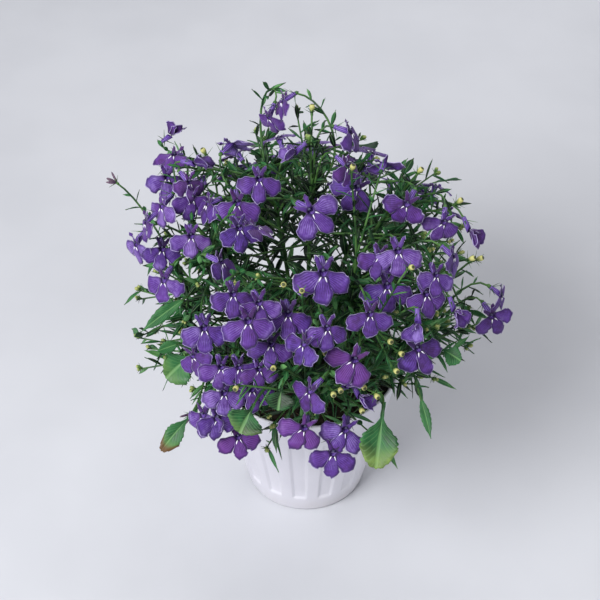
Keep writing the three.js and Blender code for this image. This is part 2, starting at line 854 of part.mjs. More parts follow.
// Spheres over a blade: shares of its length, how far apart across it, the largest radius and a margin
const leafCover = { shares: [0.14, 0.3, 0.45, 0.6, 0.75, 0.88, 0.98], gap: 1.5, radius: 1.3, margin: 0.3 };

function leafSpheres(leaf) {
  const found = [];
  for (const share of leafCover.shares) {
    const at = leaf.root.clone().addScaledVector(leaf.way, share * leaf.length);
    at.z -= leaf.droop * share * share;
    const wide = leaf.half * leafWidth(share, leaf.broad);
    const count = Math.max(1, Math.round(wide / leafCover.gap));
    const radius = Math.min(wide, leafCover.radius) + leafCover.margin;
    for (let i = 0; i < count; i += 1) {
      const across = count === 1 ? 0 : (2 * i / (count - 1) - 1) * (wide - 1);
      found.push({ at: at.clone().addScaledVector(leaf.side, across), radius });
    }
  }
  return found;
}

function leafAt(curve, share, spin, length, half) {
  const along = curve.getTangent(share);
  const level = new THREE.Vector3(-along.y, along.x, 0);
  if (level.length() < 0.05) {
    level.set(1, 0, 0);
  }
  level.normalize();
  const other = along.clone().cross(level);
  const away = level.clone().multiplyScalar(Math.cos(spin)).addScaledVector(other, Math.sin(spin));
  const way = along.clone().multiplyScalar(leafForward).addScaledVector(away, leafOutward).normalize();
  const side = along.clone().cross(away).normalize();
  return { root: curve.getPoint(share), way, side, length, half, droop: length * leafDroop, broad: false };
}

function addLeaves(stem, curve, shares, draw, longest) {
  shares.forEach((share, index) => {
    const start = draw() * 2 * Math.PI;
    const length = longest * (0.7 + 0.3 * draw());
    const half = leastHalfWidth + (mostHalfWidth - leastHalfWidth) * draw();
    const trials = Array.from({ length: leafTries }, (_, turn) => {
      const size = turn < fullSizeTries ? 1 : lateLeafSize;
      const spin = start + index * leafTurn + turn * leafTryTurn;
      const leaf = leafAt(curve, share, spin, length * size, half);
      return { leaf, spheres: leafSpheres(leaf) };
    });
    const found = firstClear(trials, stem.owner);
    if (found.clear) {
      keep(found.trial, stem.owner);
      stem.leaves.push(found.trial.leaf);
    }
  });
}

// Ways that a shoot can take from its stem to a place just inside the crown's surface
function shootTrials(stem, share, draw) {
  const start = stem.curve.getPoint(share);
  const tip = stem.curve.getPoint(1);
  const trials = [];
  for (let i = 0; i < shootTries; i += 1) {
    const turn = shootSpread * (draw() - 0.5);
    const free = 2 * Math.PI * draw();
    const angle = Math.hypot(tip.x, tip.y) > crownRadius / 4 ? Math.atan2(tip.y, tip.x) + turn : free;
    const height = start.z + shootRise * draw() - shootDrop;
    const out = new THREE.Vector3(Math.cos(angle) * crownRadius, Math.sin(angle) * crownRadius, height);
    const reach = crownRadius * (leastReach + (mostReach - leastReach) * draw()) / crownShare(out);
    const end = new THREE.Vector3(Math.cos(angle) * reach, Math.sin(angle) * reach, height);
    const span = Math.min(start.distanceTo(end), shootReach);
    end.sub(start).setLength(span).add(start);
    const first = start.clone().lerp(end, 1 / 3);
    const second = start.clone().lerp(end, 2 / 3);
    const curve = new THREE.CubicBezierCurve3(start, first, second, end);
    const skip = Math.min(buriedShare, buriedLength / span);
    trials.push({ curve, spheres: curveSpheres(curve, 1, shootRadius + coverMargin, skip, undefined) });
  }
  return trials;
}

function addShoots(stem, draw) {
  for (let i = 0; i < shootsPerStem; i += 1) {
    const share = firstShootShare + (lastShootShare - firstShootShare) * (i + draw()) / shootsPerStem;
    const found = firstClear(shootTrials(stem, share, draw), stem.owner);
    if (found.clear) {
      keep(found.trial, stem.owner);
      stem.shoots.push(found.trial.curve);
      addLeaves(stem, found.trial.curve, shootLeafShares, draw, shootLeafLength);
    }
  }
}

function addLargeLeaf(row, behind) {
  const [rootX, rootY, tipX, tipY, half, droop] = row;
  const trials = largeLeafDepths.map((lift) => {
    const depth = Math.min(crownDepth(rootX, rootY), crownDepth(tipX, tipY)) + lift;
    const root = seenAt(rootX, rootY, depth);
    const tip = seenAt(tipX, tipY, depth - 2);
    tip.z += droop;
    const side = tip.clone().sub(root).cross(toEye).normalize();
    if (behind) {
      [root, tip, side].forEach((vector) => vector.applyMatrix4(halfTurn));
    }
    const way = tip.clone().sub(root);
    const length = way.length();
    way.normalize();
    const leaf = { root, way, side, length, half, droop, broad: half > 3 };
    return { leaf, spheres: leafSpheres(leaf) };
  });
  const { trial } = firstClear(trials, 'none');
  const inside = trial.leaf.root.clone().addScaledVector(trial.leaf.way, 0.8);
  const stem = addBranch(stemsNear(inside).slice(0, 4), inside, trial.leaf.way, undefined);
  keep(trial, stem.owner);
  stem.largeLeaves.push(trial.leaf);
}

// The whole plant

const bloomGroups = [...placeFrontBlooms(), ...placeBackBlooms()];

const stems = [];
for (const ring of stemRings) {
  for (let i = 0; i < ring.count; i += 1) {
    const angle = THREE.MathUtils.degToRad(ring.firstAngle + i * 360 / ring.count);
    const curve = stemCurve(angle, ring);
    const owner = `stem_${stems.length + 1}`;
    const trial = { spheres: curveSpheres(curve, stemSteps, stemRadius + coverMargin, 0, undefined) };
    trial.spheres.forEach((one) => { one.buried = true; });
    keep(trial, owner);
    stems.push({ owner, curve, branches: [], leaves: [], largeLeaves: [], buds: [], closed: [], shoots: [] });
  }
}

for (const group of bloomGroups) {
  for (const bloom of group.blooms) {
    const end = tubeFoot(bloom, seatGap);
    addBranch(stemsNear(end).slice(0, 4), end, tubeWay(bloom), group.owner);
  }
}

for (const row of closedBlooms) {
  addClosedBloom(row);
}

for (const row of largeLeaves) {
  addLargeLeaf(row, false);
}
for (const row of backLeaves) {
  addLargeLeaf(row, true);
}

for (const [x, y] of frontBuds) {
  const trials = budDepths.map((lift) => {
    const at = seenAt(x, y, crownDepth(x, y) + lift);
    return { at, spheres: [{ at, radius: budRadius * 1.5 }] };
  });
  const { trial } = firstClear(trials, 'none');
  const way = trial.at.clone().sub(heart).normalize();
  const stem = addBranch(stemsNear(trial.at).slice(0, 4), trial.at, way, undefined);
  keep(trial, stem.owner);
  stem.buds.push({ at: trial.at, way });
}

const draw = draws(leafSeed);
for (const stem of stems) {
  addLeaves(stem, stem.curve, stemLeafShares, draw, stemLeafLength);
}

const shootDraw = draws(leafSeed + 13);
for (const stem of stems) {
  addShoots(stem, shootDraw);
}

function budBody(bud, radius, stretch) {
  const turn = new THREE.Quaternion().setFromUnitVectors(new THREE.Vector3(0, 0, 1), bud.way);
  const egg = new THREE.OctahedronGeometry(radius, 0).scale(1, 1, stretch).applyQuaternion(turn);
  return solid(egg.translate(bud.at.x, bud.at.y, bud.at.z));
}

function stemBody(stem) {
  const bodies = [solid(tubeAlong(stem.curve, stemRadius, 4, stemSteps))];
  for (const branch of stem.branches) {
    const line = tubeAlong(branch.curve, branchRadius, 3, branch.steps);
    bodies.push(solid(flaredEnd(line, branch.curve.getPoint(1), branchRadius)));
  }
  bodies.push(...stem.shoots.map((curve) => solid(tubeAlong(curve, shootRadius, 3, 1))));
  bodies.push(...stem.buds.map((bud) => budBody(bud, budRadius, budStretch)));
  bodies.push(...stem.closed.map((bud) => budBody(bud, closedRadius, closedStretch)));
  bodies.push(...stem.leaves.map(smallLeafBody));
  bodies.push(...stem.largeLeaves.map(leafBody));
  return wholeOf(joined(bodies));
}

addPiece('pot', potBody(), materials.pot);
addPiece('soil', soilBody(stems.map((stem) => stem.curve.getPoint(0))), materials.soil);
for (const stem of stems) {
  addPiece(stem.owner, stemBody(stem), materials.leaf);
}
for (const group of bloomGroups) {
  addPiece(group.owner, joined(group.blooms.map(bloomBody)), materials.bloom);
}

export default object;
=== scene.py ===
import math

import bmesh
import bpy
import numpy as np
from mathutils import Matrix, Vector, noise


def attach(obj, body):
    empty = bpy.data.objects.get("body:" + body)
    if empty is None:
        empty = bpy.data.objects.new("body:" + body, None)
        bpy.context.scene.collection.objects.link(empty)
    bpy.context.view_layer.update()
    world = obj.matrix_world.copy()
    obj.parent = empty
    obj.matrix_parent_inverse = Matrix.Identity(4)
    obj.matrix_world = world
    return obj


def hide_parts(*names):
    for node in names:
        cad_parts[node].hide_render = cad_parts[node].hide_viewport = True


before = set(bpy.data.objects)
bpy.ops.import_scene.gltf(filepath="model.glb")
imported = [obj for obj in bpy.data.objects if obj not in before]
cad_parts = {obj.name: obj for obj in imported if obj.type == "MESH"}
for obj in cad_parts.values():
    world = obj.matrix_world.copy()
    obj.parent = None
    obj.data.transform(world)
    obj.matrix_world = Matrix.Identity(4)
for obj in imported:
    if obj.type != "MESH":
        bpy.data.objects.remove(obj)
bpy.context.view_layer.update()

mm = 0.001
fullTurn = 2 * math.pi
print("frame loaded,", len(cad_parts), "nodes")


def newObject(name, data):
    made = bpy.data.objects.new(name, data)
    bpy.context.scene.collection.objects.link(made)
    return made


def meshFrom(bm, name):
    mesh = bpy.data.meshes.new(name)
    bm.to_mesh(mesh)
    bm.free()
    return mesh


# The camera, and the way from a place in the 600 x 600 picture to a place in space

camera = {
    "elevation": 43, "distance": 583.3, "target": (-2.5, 0, 97.8), "sensor": 36,
    "focal": 1500, "middle": 300,    # in pixels of the picture
}
rise = math.radians(camera["elevation"])
toEye = np.array([0, -math.cos(rise), math.sin(rise)])
viewUp = np.array([0, math.sin(rise), math.cos(rise)])
viewRight = np.array([1.0, 0, 0])
eye = np.array(camera["target"]) + toEye * camera["distance"]


def seenAt(x, y, depth):
    scale = depth / camera["focal"]
    across = (x - camera["middle"]) * scale
    upward = (camera["middle"] - y) * scale
    return eye - toEye * depth + viewRight * across + viewUp * upward


def addCamera():
    lens = bpy.data.cameras.new("photoView")
    lens.sensor_width = camera["sensor"]
    lens.lens = camera["sensor"] * camera["focal"] / (2 * camera["middle"])
    lens.clip_start, lens.clip_end = 0.01, 20
    holder = newObject("photoView", lens)
    turn = Matrix((viewRight, viewUp, toEye)).transposed().to_4x4()
    holder.matrix_world = Matrix.Translation(Vector(eye * mm)) @ turn
    bpy.context.scene.camera = holder


addCamera()

# Sizes that the pot, the soil and the plant's room share, in mm

pot = {
    "height": 66, "rimRadius": 38, "baseRadius": 24.7, "wall": 1.4, "floor": 2,
    "footRound": 1.6, "lowerBandTop": 9.7, "rimBandBottom": 51, "bandStep": 0.7,
    "panels": 16, "columnsPerPanel": 20, "drains": 4, "drainRadius": 3, "drainRing": 14,
    "floorRings": (0, 11, 17), "footSteps": 5, "innerHeights": (60, 50, 30, 12, 2),
    "outerHeights": (4, 7, 9.2, 9.7, 10.2, 10.7, 16, 23, 30, 37, 44, 49.8, 50.4, 51, 51.6, 55, 60, 64,
                     65.3),
    "lip": [(37.85, 65.75), (37.35, 66), (36.95, 65.85), (36.6, 65.4)],
}
soil = {
    "top": 57, "dome": 2.5, "domePower": 2.2, "gap": 0.1, "turns": 72, "rings": 18, "crumbs": 900,
    "fibres": 90, "seed": 41, "holeDepth": 9,
}
crown = {"mid": 108, "radius": 76, "topHalf": 66, "lowHalf": 48, "footRadius": 46}
flower = {
    "lobeLength": 8.3, "tubeLength": 6, "tubeLean": 42, "seatGap": 0.4, "closedSeat": -0.6,
    "closedFold": 62,
}
plant = {
    "stemRadius": 0.95, "stemSteps": 7, "stemRise": 34, "stemSpread": 0.62, "stemDrop": 14,
    "branchRadius": 0.58, "branchBend": 26, "clearance": 0.35, "groupContact": 12,
    "contactSearch": 9, "roomSeen": 5, "seed": 7331, "leafDroop": 0.16, "leafTurn": 2.4,
    "budRadius": 1.25, "stemLeafShares": (0.45, 0.9), "stemLeafLength": 17, "tryTurn": 1.3,
    "leafAlong": 0.62, "leafAway": 0.78, "shortLeaf": 0.65, "sphereEvery": 1.3,
    "branchBacks": (0.22, 0.1, 0.36), "branchFirst": 0.3, "branchLast": 0.94, "ahead": 0.16, "bow": 1.5,
    "footSkip": 2.5,    # mm from a branch's foot where it may touch other pieces
}
shoot = {    # leafy shoots that fill the mound
    "perStem": 4, "radius": 0.5, "reach": 42, "firstShare": 0.3, "lastShare": 0.97, "tries": 6,
    "spread": 2.6, "rise": 34, "drop": 12, "leastReach": 0.7, "mostReach": 0.95,
    "leafShares": (0.97,), "leafLength": 12,
}
stemRings = [    # how many stems, first angle, ring of the roots, reach, height
    (7, -90, 18, 58, 104),
    (4, -65, 9, 42, 140),
    (1, 0, 0, 2, 158),
]

# Front blooms by the group that holds together: place in the picture, the way the lip points,
# the way the face is turned, how far, and the size
frontBlooms = {
    "top_left": [(283, 101, 240, 170, 70, 0.9), (269, 117, 250, 215, 60, 0.9)],
    "top_back": [(231, 144, 290, 90, 105, 1.0)],
    "top_right": [(350, 132, 330, 20, 65, 1.0)],
    "far_right_top": [(384, 163, 275, 90, 105, 0.95)],
    "upper_right": [(347, 166, 290, 0, 55, 0.9), (357, 188, 235, 0, 15, 1.1)],
    "left_top": [(174, 155, 258, 110, 40, 0.95), (167, 177, 270, 0, 15, 1.0)],
    "left_upper": [(189, 182, 280, 0, 50, 0.9), (192, 198, 270, 330, 30, 1.0)],
    "left_outer": [(162, 206, 250, 190, 45, 0.95), (146, 222, 250, 180, 65, 0.9)],
    "left_tip": [(136, 244, 250, 200, 55, 0.95), (162, 249, 265, 0, 15, 0.95)],
    "left_middle": [(191, 236, 270, 0, 10, 0.95)],
    "left_low": [(164, 280, 260, 200, 30, 1.0)],
    "centre_upper": [(208, 204, 240, 160, 60, 0.9), (237, 203, 268, 0, 10, 1.1)],
    "centre_left": [(239, 228, 280, 0, 20, 1.0), (256, 227, 290, 60, 70, 0.9)],
    "centre_side": [(221, 262, 300, 20, 60, 0.95)],
    "centre_top": [(259, 179, 270, 0, 10, 1.0)],
    "centre": [(311, 211, 320, 0, 10, 1.2)],
    "largest": [(323, 273, 268, 0, 8, 1.3)],
    "right_upper": [(379, 256, 262, 0, 20, 0.95), (398, 251, 275, 0, 10, 1.1)],
    "right_middle": [(387, 286, 270, 0, 10, 1.15)],
    "right_top": [(407, 204, 240, 240, 25, 1.0)],
    "right_outer": [(436, 275, 265, 0, 25, 0.95), (426, 294, 280, 0, 20, 1.0)],
    "right_side": [(453, 256, 300, 0, 65, 0.9)],
    "far_right": [(444, 222, 250, 300, 30, 0.95)],
    "far_right_tip": [(492, 316, 300, 310, 25, 1.0), (501, 295, 330, 350, 65, 0.85)],
    "right_low": [(418, 349, 300, 0, 15, 1.1)],
    "middle_left": [(204, 328, 275, 0, 8, 1.1), (193, 356, 290, 200, 40, 0.9)],
    "middle": [(233, 294, 270, 0, 15, 1.0), (259, 303, 280, 0, 15, 1.0), (248, 321, 270, 0, 8, 1.15)],
    "middle_front": [(288, 314, 270, 0, 8, 1.1)],
    "middle_low": [(271, 344, 265, 0, 15, 1.0)],
    "middle_right": [(304, 344, 230, 180, 40, 0.95), (327, 328, 275, 0, 20, 1.0)],
    "right_front": [(370, 314, 270, 0, 12, 1.0)],
    "low_right": [(354, 360, 235, 0, 10, 1.15)],
    "low_middle": [(310, 391, 235, 190, 40, 1.0)],
    "low_dark": [(221, 367, 265, 0, 20, 0.95), (239, 367, 280, 0, 20, 0.95),
                 (259, 369, 270, 0, 25, 0.9)],
    "low_left": [(252, 389, 272, 0, 8, 1.05), (224, 393, 268, 0, 15, 1.0)],
    "low_outer": [(203, 415, 262, 200, 32, 1.0), (217, 418, 275, 340, 30, 1.0)],
    "over_left_rim": [(238, 437, 280, 0, 15, 1.0)],
    "over_rim": [(304, 428, 240, 0, 10, 1.05)],
    "over_pot": [(345, 430, 245, 0, 10, 1.1), (333, 453, 265, 0, 8, 1.1)],
}
closedBlooms = [
    (296, 152, 250, 180, 60, 0.8), (170, 136, 250, 60, 75, 0.85), (194, 164, 290, 30, 70, 0.85),
    (454, 310, 300, 320, 70, 0.85), (469, 230, 290, 330, 65, 0.85), (418, 323, 270, 250, 60, 0.85),
    (346, 387, 270, 70, 60, 0.8), (359, 396, 290, 340, 60, 0.8),
]
# Far blooms in threes, placed as if seen from behind: x, y, and how far they meet
backCentres = [
    (180, 404, 5), (250, 420, 5), (322, 416, 5), (380, 412, 5),
    (214, 446, 5), (286, 462, 10), (358, 452, 9),
]
backTrio = [(0, -10), (-14, 8), (14, 8)]
# Single blooms set back among the leaves of the far side, placed in the same way
farBlooms = [
    (190, 322, 262, 160, 20, 0.95), (236, 290, 280, 120, 25, 1.0), (286, 320, 265, 90, 20, 1.0),
    (338, 288, 275, 60, 24, 0.95), (386, 316, 285, 20, 22, 1.0), (210, 362, 270, 140, 20, 0.9),
    (256, 350, 255, 100, 24, 1.0), (312, 366, 280, 80, 20, 0.95), (360, 352, 268, 40, 26, 1.0),
    (412, 350, 275, 0, 20, 0.9), (300, 256, 272, 90, 22, 1.0), (152, 340, 262, 170, 18, 0.95),
    (436, 316, 280, 10, 18, 0.95), (168, 286, 266, 150, 20, 0.9), (420, 276, 276, 20, 20, 0.9),
]
frontBuds = [
    (312, 110), (205, 153), (419, 172), (458, 202), (478, 259), (361, 324), (395, 370),
    (274, 367), (376, 395), (114, 181), (189, 416),
]
withered = (9, 10)    # places in the list above
moreBuds = [
    (352, 169), (470, 259), (410, 268), (284, 285), (302, 291), (325, 352), (389, 341), (400, 353),
    (237, 387), (333, 393), (340, 389), (363, 386), (361, 409),
]
# Root, tip, half width, and how far the blade droops
largeLeaves = [
    (384, 402, 376, 469, 6.6, 3), (183, 300, 141, 332, 2.4, 2), (178, 344, 156, 352, 2.2, 1),
    (196, 352, 166, 378, 6.2, 2), (196, 410, 161, 451, 3.4, 3), (254, 404, 240, 433, 6.5, 2),
    (421, 399, 431, 439, 1.8, 2), (438, 347, 461, 361, 3.4, 1), (282, 385, 278, 410, 5.0, 1),
]
backLeaves = [
    (252, 398, 226, 446, 6.2, 3), (352, 402, 374, 444, 5.6, 3), (160, 352, 128, 372, 2.4, 2),
    (436, 344, 468, 366, 3.0, 2),
]
# How far behind the crown each kind is tried, in turn
bloomDepths = (0, 3, -3, 6, -6, 9, -9, 12, 15)
closedDepths = (0, -3, 3, -6, 6, 9, 12)
farDepths = (17, 20, 14, 23, 26, 29, 11)
largeLeafDepths = (6, 10, 3, 14, 0, -4)
budDepths = (0, -4, 4, 8, 12)


def draws(seed):
    state = seed

    def draw():
        nonlocal state
        state = (state * 1664525 + 1013904223) % 4294967296
        return state / 4294967296

    return draw


def unit(vector):
    return vector / np.linalg.norm(vector)


def turned(x, y, angle):
    return x * math.cos(angle) - y * math.sin(angle), x * math.sin(angle) + y * math.cos(angle)


def ringPoint(radius, angle, z=0):
    return np.array([radius * math.cos(angle), radius * math.sin(angle), z])


def potRadius(z):
    return pot["baseRadius"] + (pot["rimRadius"] - pot["baseRadius"]) * (z / pot["height"])


# The crown: the surface round the pot's axis that the blooms lie on

def crownShare(points):
    z = points[:, 2]
    high = z > crown["mid"]
    half = np.where(high, crown["topHalf"], crown["lowHalf"])
    level = np.minimum(1, np.abs(z - crown["mid"]) / half)
    bulge = np.sqrt(1 - level * level)
    low = crown["footRadius"] + (crown["radius"] - crown["footRadius"]) * bulge
    radius = np.where(high, crown["radius"] * bulge, low)
    return np.hypot(points[:, 0], points[:, 1]) / np.maximum(radius, 1)


def crownDepth(x, y, reach=110):
    depths = camera["distance"] - reach + np.arange(2 * reach)
    shares = crownShare(np.array([seenAt(x, y, depth) for depth in depths]))
    inside = np.nonzero(shares <= 1)[0]
    last = inside[0] + 1 if len(inside) else len(shares)
    return depths[np.argmin(shares[:last])]


# Room between pieces: each is followed by small spheres

noPartner = -2
ownerNumbers = {None: noPartner}
placed = {
    "at": np.zeros((0, 3)), "radius": np.zeros(0), "owner": np.zeros(0, int),
    "partner": np.zeros(0, int), "reserve": np.zeros(0, bool),
}


def numberOf(owner):
    return ownerNumbers.setdefault(owner, len(ownerNumbers))


def spheres(at, radius, partner=None, reserve=False):
    count = len(at)
    partners = np.full(count, noPartner)
    partners[-1] = numberOf(partner)
    return {
        "at": np.asarray(at), "radius": np.broadcast_to(radius, count), "partner": partners,
        "reserve": np.broadcast_to(reserve, count),
    }


def joinedSpheres(several):
    return {key: np.concatenate([one[key] for one in several]) for key in several[0]}


def potRoom(at, radius):
    across, z = np.hypot(at[:, 0], at[:, 1]), at[:, 2]
    side = np.maximum(np.maximum(across - pot["rimRadius"], pot["rimRadius"] - pot["wall"] - across), 0)
    over = np.hypot(side, z - pot["height"]) - radius
    outside = across - potRadius(z) - radius
    above = z - soil["top"] - soil["dome"] - radius
    inside = np.minimum(potRadius(z) - pot["wall"] - pot["bandStep"] - across - radius, above)
    return np.where(z > pot["height"], over, np.maximum(outside, inside))


def roomOf(cover, owner):
    at, radius, seen = cover["at"], cover["radius"], plant["roomSeen"]
    least = min(seen, potRoom(at, radius).min())
    number = numberOf(owner)
    near = ((placed["at"] > at.min(0) - seen) & (placed["at"] < at.max(0) + seen)).all(1)
    near &= (placed["owner"] != number) & (placed["partner"] != number)
    blooming = owner.startswith("bloom")
    if not blooming:
        near &= ~placed["reserve"]
    if not near.any():
        return least
    gaps = np.linalg.norm(at[:, None] - placed["at"][near][None], axis=2)
    gaps = gaps - radius[:, None] - placed["radius"][near][None]
    gaps[cover["partner"][:, None] == placed["owner"][near][None]] = seen
    if blooming:
        gaps[cover["reserve"][:, None] & placed["reserve"][near][None]] = seen
    return min(least, gaps.min())


# Each trial is a piece and the spheres that cover it. The first with room is taken, or the roomiest.
def firstClear(trials, owner):
    best, bestRoom = None, -math.inf
    for trial in trials:
        found = roomOf(trial[1], owner)
        if found > bestRoom:
            best, bestRoom = trial, found
        if found >= plant["clearance"]:
            break
    return *best, bestRoom


def keep(cover, owner):
    cover = {**cover, "owner": np.full(len(cover["at"]), numberOf(owner))}
    for key in placed:
        placed[key] = np.concatenate([placed[key], cover[key]])


# Where the blooms lie. A bloom's own frame has the lip, the side and the way it faces.

lean = math.radians(flower["tubeLean"])
tubeAxis = np.array([math.sin(lean), 0, math.cos(lean)])
lobeCover = [    # share of the lobe, degrees off its middle, radius
    (0.35, 0, 1.3), (0.62, -9, 1.4), (0.62, 9, 1.4), (0.9, -15, 1.4), (0.9, 15, 1.4), (0.85, 0, 1.4),
]
# How far back, radius
tubeCover = [(1.2, 1.3), (3.2, 1.2), (5, 1.0), (7.5, 0.8), (10, 0.8), (12.5, 0.8)]
halfTurn = np.diag([-1.0, -1.0, 1.0])


def isUpper(angle):
    return 112 < angle < 248


def lobeRise(share, upper):
    return 1.8 * share * share if upper else share - 1.9 * share * share


def lobePoint(angle, share, fold):
    out, up = turned(share * flower["lobeLength"], lobeRise(share, isUpper(angle)), math.radians(fold))
    return ringPoint(out, math.radians(angle), up)


def bloomCover(fold):
    cover = [(lobePoint(angle + off, reach, fold), size)
             for angle in (-64, 0, 64) for reach, off, size in lobeCover]
    cover += [(lobePoint(angle, reach, fold), 0.8) for angle in (152, 208) for reach in (0.35, 0.6)]
    cover += [(tubeAxis * -back, size) for back, size in tubeCover]
    at, radius = zip(*cover)
    return np.array(at), np.array(radius)


covers = {fold: bloomCover(fold) for fold in (0, flower["closedFold"])}


def bloomSpheres(bloom):
    at, radius = covers[bloom["fold"]]
    stalkRoom = np.arange(len(at)) >= len(at) - 3    # behind the tube
    at = bloom["size"] * at @ bloom["frame"].T + bloom["at"]
    return spheres(at, radius * bloom["size"], None, stalkRoom)


def bloomFrame(lip, face, tilt):
    turn, away, hang = math.radians(tilt), math.radians(face), math.radians(lip)
    axis = toEye * math.cos(turn) + viewRight * math.sin(turn) * math.cos(away)
    axis = axis + viewUp * math.sin(turn) * math.sin(away)
    down = viewRight * math.cos(hang) + viewUp * math.sin(hang)
    lipWay = unit(down - axis * down.dot(axis))
    return np.column_stack([lipWay, np.cross(axis, lipWay), axis])


def seenBloom(row, depth, fold=0):
    x, y, lip, face, tilt, size = row
    return {"at": seenAt(x, y, depth), "frame": bloomFrame(lip, face, tilt), "size": size, "fold": fold}


def turnedRound(bloom):
    return {**bloom, "at": halfTurn @ bloom["at"], "frame": halfTurn @ bloom["frame"]}


def tubeFoot(bloom, beyond):
    return bloom["frame"] @ (tubeAxis * (-flower["tubeLength"] * bloom["size"] - beyond)) + bloom["at"]


def contact(bloom, others):
    one = bloomSpheres(bloom)
    other = joinedSpheres([bloomSpheres(each) for each in others])
    gaps = np.linalg.norm(one["at"][:, None] - other["at"][None], axis=2)
    depth = np.maximum(0, one["radius"][:, None] + other["radius"][None] - gaps)
    return depth[~one["reserve"]][:, ~other["reserve"]].sum()


def seenGroup(rows, lift, meeting):
    blooms = []
    depth = lift + sum(crownDepth(row[0], row[1]) for row in rows) / len(rows)
    search = range(-plant["contactSearch"], plant["contactSearch"] + 1)
    for row in rows:
        if blooms:
            trials = [seenBloom(row, depth + step) for step in search]
            blooms.append(min(trials, key=lambda trial: abs(contact(trial, blooms) - meeting)))
        else:
            blooms.append(seenBloom(row, depth))
    return blooms


def groupTrials(rows, depths, meeting, behind):
    for lift in depths:
        blooms = seenGroup(rows, lift, meeting)
        if behind:
            blooms = [turnedRound(bloom) for bloom in blooms]
        yield blooms, joinedSpheres([bloomSpheres(bloom) for bloom in blooms])


def settleGroup(name, rows, depths, meeting, behind=False):
    blooms, cover, _ = firstClear(groupTrials(rows, depths, meeting, behind), "bloom_" + name)
    keep(cover, "bloom_" + name)
    bloomGroups[name] = blooms


def backRow(x, y, across, down, draw):
    lip = 270 + 50 * (draw() - 0.5)
    face = math.degrees(math.atan2(-down, across)) + 40 * (draw() - 0.5)
    return (x + across, y + down, lip, face, 22 + 16 * draw(), 0.9 + 0.2 * draw())


# Stems and branches are curves with two handles

fineShares = np.linspace(0, 1, 201)


def curvePoints(curve, shares):
    t = np.atleast_1d(np.asarray(shares, float))[:, None]
    u = 1 - t
    return u**3 * curve[0] + 3 * u * u * t * curve[1] + 3 * u * t * t * curve[2] + t**3 * curve[3]


def curvePoint(curve, share):
    return curvePoints(curve, share)[0]


def curveTangent(curve, share, step=0.0001):
    ends = curvePoints(curve, [max(0, share - step), min(1, share + step)])
    return unit(ends[1] - ends[0])


def curveLengths(curve):
    points = curvePoints(curve, fineShares)
    return np.concatenate([[0], np.cumsum(np.linalg.norm(np.diff(points, axis=0), axis=1))])


def curveSpheres(curve, steps, radius, start, partner=None):
    lengths = curveLengths(curve)
    points = curvePoints(curve, np.interp(np.linspace(0, lengths[-1], steps + 1), lengths, fineShares))
    count = math.ceil(lengths[-1] / plant["sphereEvery"])
    shares = start + (1 - start) * np.arange(count + 1) / count
    step = np.minimum(steps - 1, np.floor(shares * steps)).astype(int)
    part = (shares * steps - step)[:, None]
    return spheres(points[step] * (1 - part) + points[step + 1] * part, radius + 0.1, partner)


def stemCurve(angle, ring):
    _, _, rootRing, reach, height = ring
    foot = soil["top"] + soil["dome"] - soil["holeDepth"] + flower["seatGap"]
    return np.array([
        ringPoint(rootRing, angle, foot), ringPoint(rootRing, angle, foot + plant["stemRise"]),
        ringPoint(reach * plant["stemSpread"], angle, height - plant["stemDrop"]),
        ringPoint(reach, angle, height),
    ])


heart = np.array([0, 0, crown["mid"] - 12])
bows = [    # outwards, upwards, sideways
    (0, 0, 0), (6, 0, 0), (0, 6, 0), (0, 0, 6), (0, 0, -6), (10, 6, 0), (0, 12, 0), (0, 0, 12),
    (0, 0, -12), (6, 8, 8), (6, 8, -8), (14, 14, 0), (-6, 6, 0), (-6, 0, 8), (-6, 0, -8),
]
arrivals = [(0.3, 0), (0.3, 0.6), (0.12, 0), (0.12, 0.6), (0.2, 1.2)]    # handle, turn from the heart
stems = []


def branchTrials(stem, end, way, partner):
    shares = np.arange(21) / 20
    near = shares[np.argmin(np.linalg.norm(curvePoints(stem["curve"], shares) - end, axis=1))]
    out = unit(np.array([end[0], end[1], 0]))
    side = np.array([-out[1], out[0], 0])
    fromHeart = unit(end - heart)
    for back in plant["branchBacks"]:
        share = min(max(near - back, plant["branchFirst"]), plant["branchLast"])
        start = curvePoint(stem["curve"], share)
        span = np.linalg.norm(start - end)
        ahead = start + curveTangent(stem["curve"], share) * span * plant["ahead"]
        ahead = ahead + (end - ahead) * plant["ahead"]
        steps, skip = 3 if span > plant["branchBend"] else 2, min(0.5, plant["footSkip"] / span)
        for outward, upward, sideways in bows:
            bow = out * outward + side * sideways + np.array([0, 0, upward])
            for handle, inward in arrivals:
                arrival = unit(way + fromHeart * inward)
                curve = np.array([start, ahead + bow * plant["bow"], end - arrival * span * handle, end])
                yield curve, curveSpheres(curve, steps, plant["branchRadius"], skip, partner)


# Tries the four stems whose tips are nearest
def addBranch(end, way, partner=None, kind="bloom"):
    best = (-math.inf,)
    for stem in sorted(stems, key=lambda stem: np.linalg.norm(stem["curve"][3] - end))[:4]:
        curve, cover, found = firstClear(branchTrials(stem, end, way, partner), stem["owner"])
        if found > best[0]:
            best = (found, stem, curve, cover)
        if found >= plant["clearance"]:
            break
    _, stem, curve, cover = best
    keep(cover, stem["owner"])
    stem["branches"].append({"curve": curve, "kind": kind, "way": way})
    return stem


# Takes the first clear place for a piece, and hangs it on a branch of its own
def hang(trials, kind, endOf, least=-math.inf):
    piece, cover, found = firstClear(trials, "none")
    if found >= least:
        stem = addBranch(*endOf(piece), None, kind)
        keep(cover, stem["owner"])
        stem[kind].append(piece)


def addSingleBloom(row, depths, fold, behind, least=-math.inf):
    trials = []
    for lift in depths:
        bloom = seenBloom(row, crownDepth(row[0], row[1]) + lift, fold)
        bloom = turnedRound(bloom) if behind else bloom
        trials.append((bloom, bloomSpheres(bloom)))
    seat = flower["closedSeat"]
    hang(trials, "closed", lambda bloom: (tubeFoot(bloom, seat), bloom["frame"] @ tubeAxis), least)


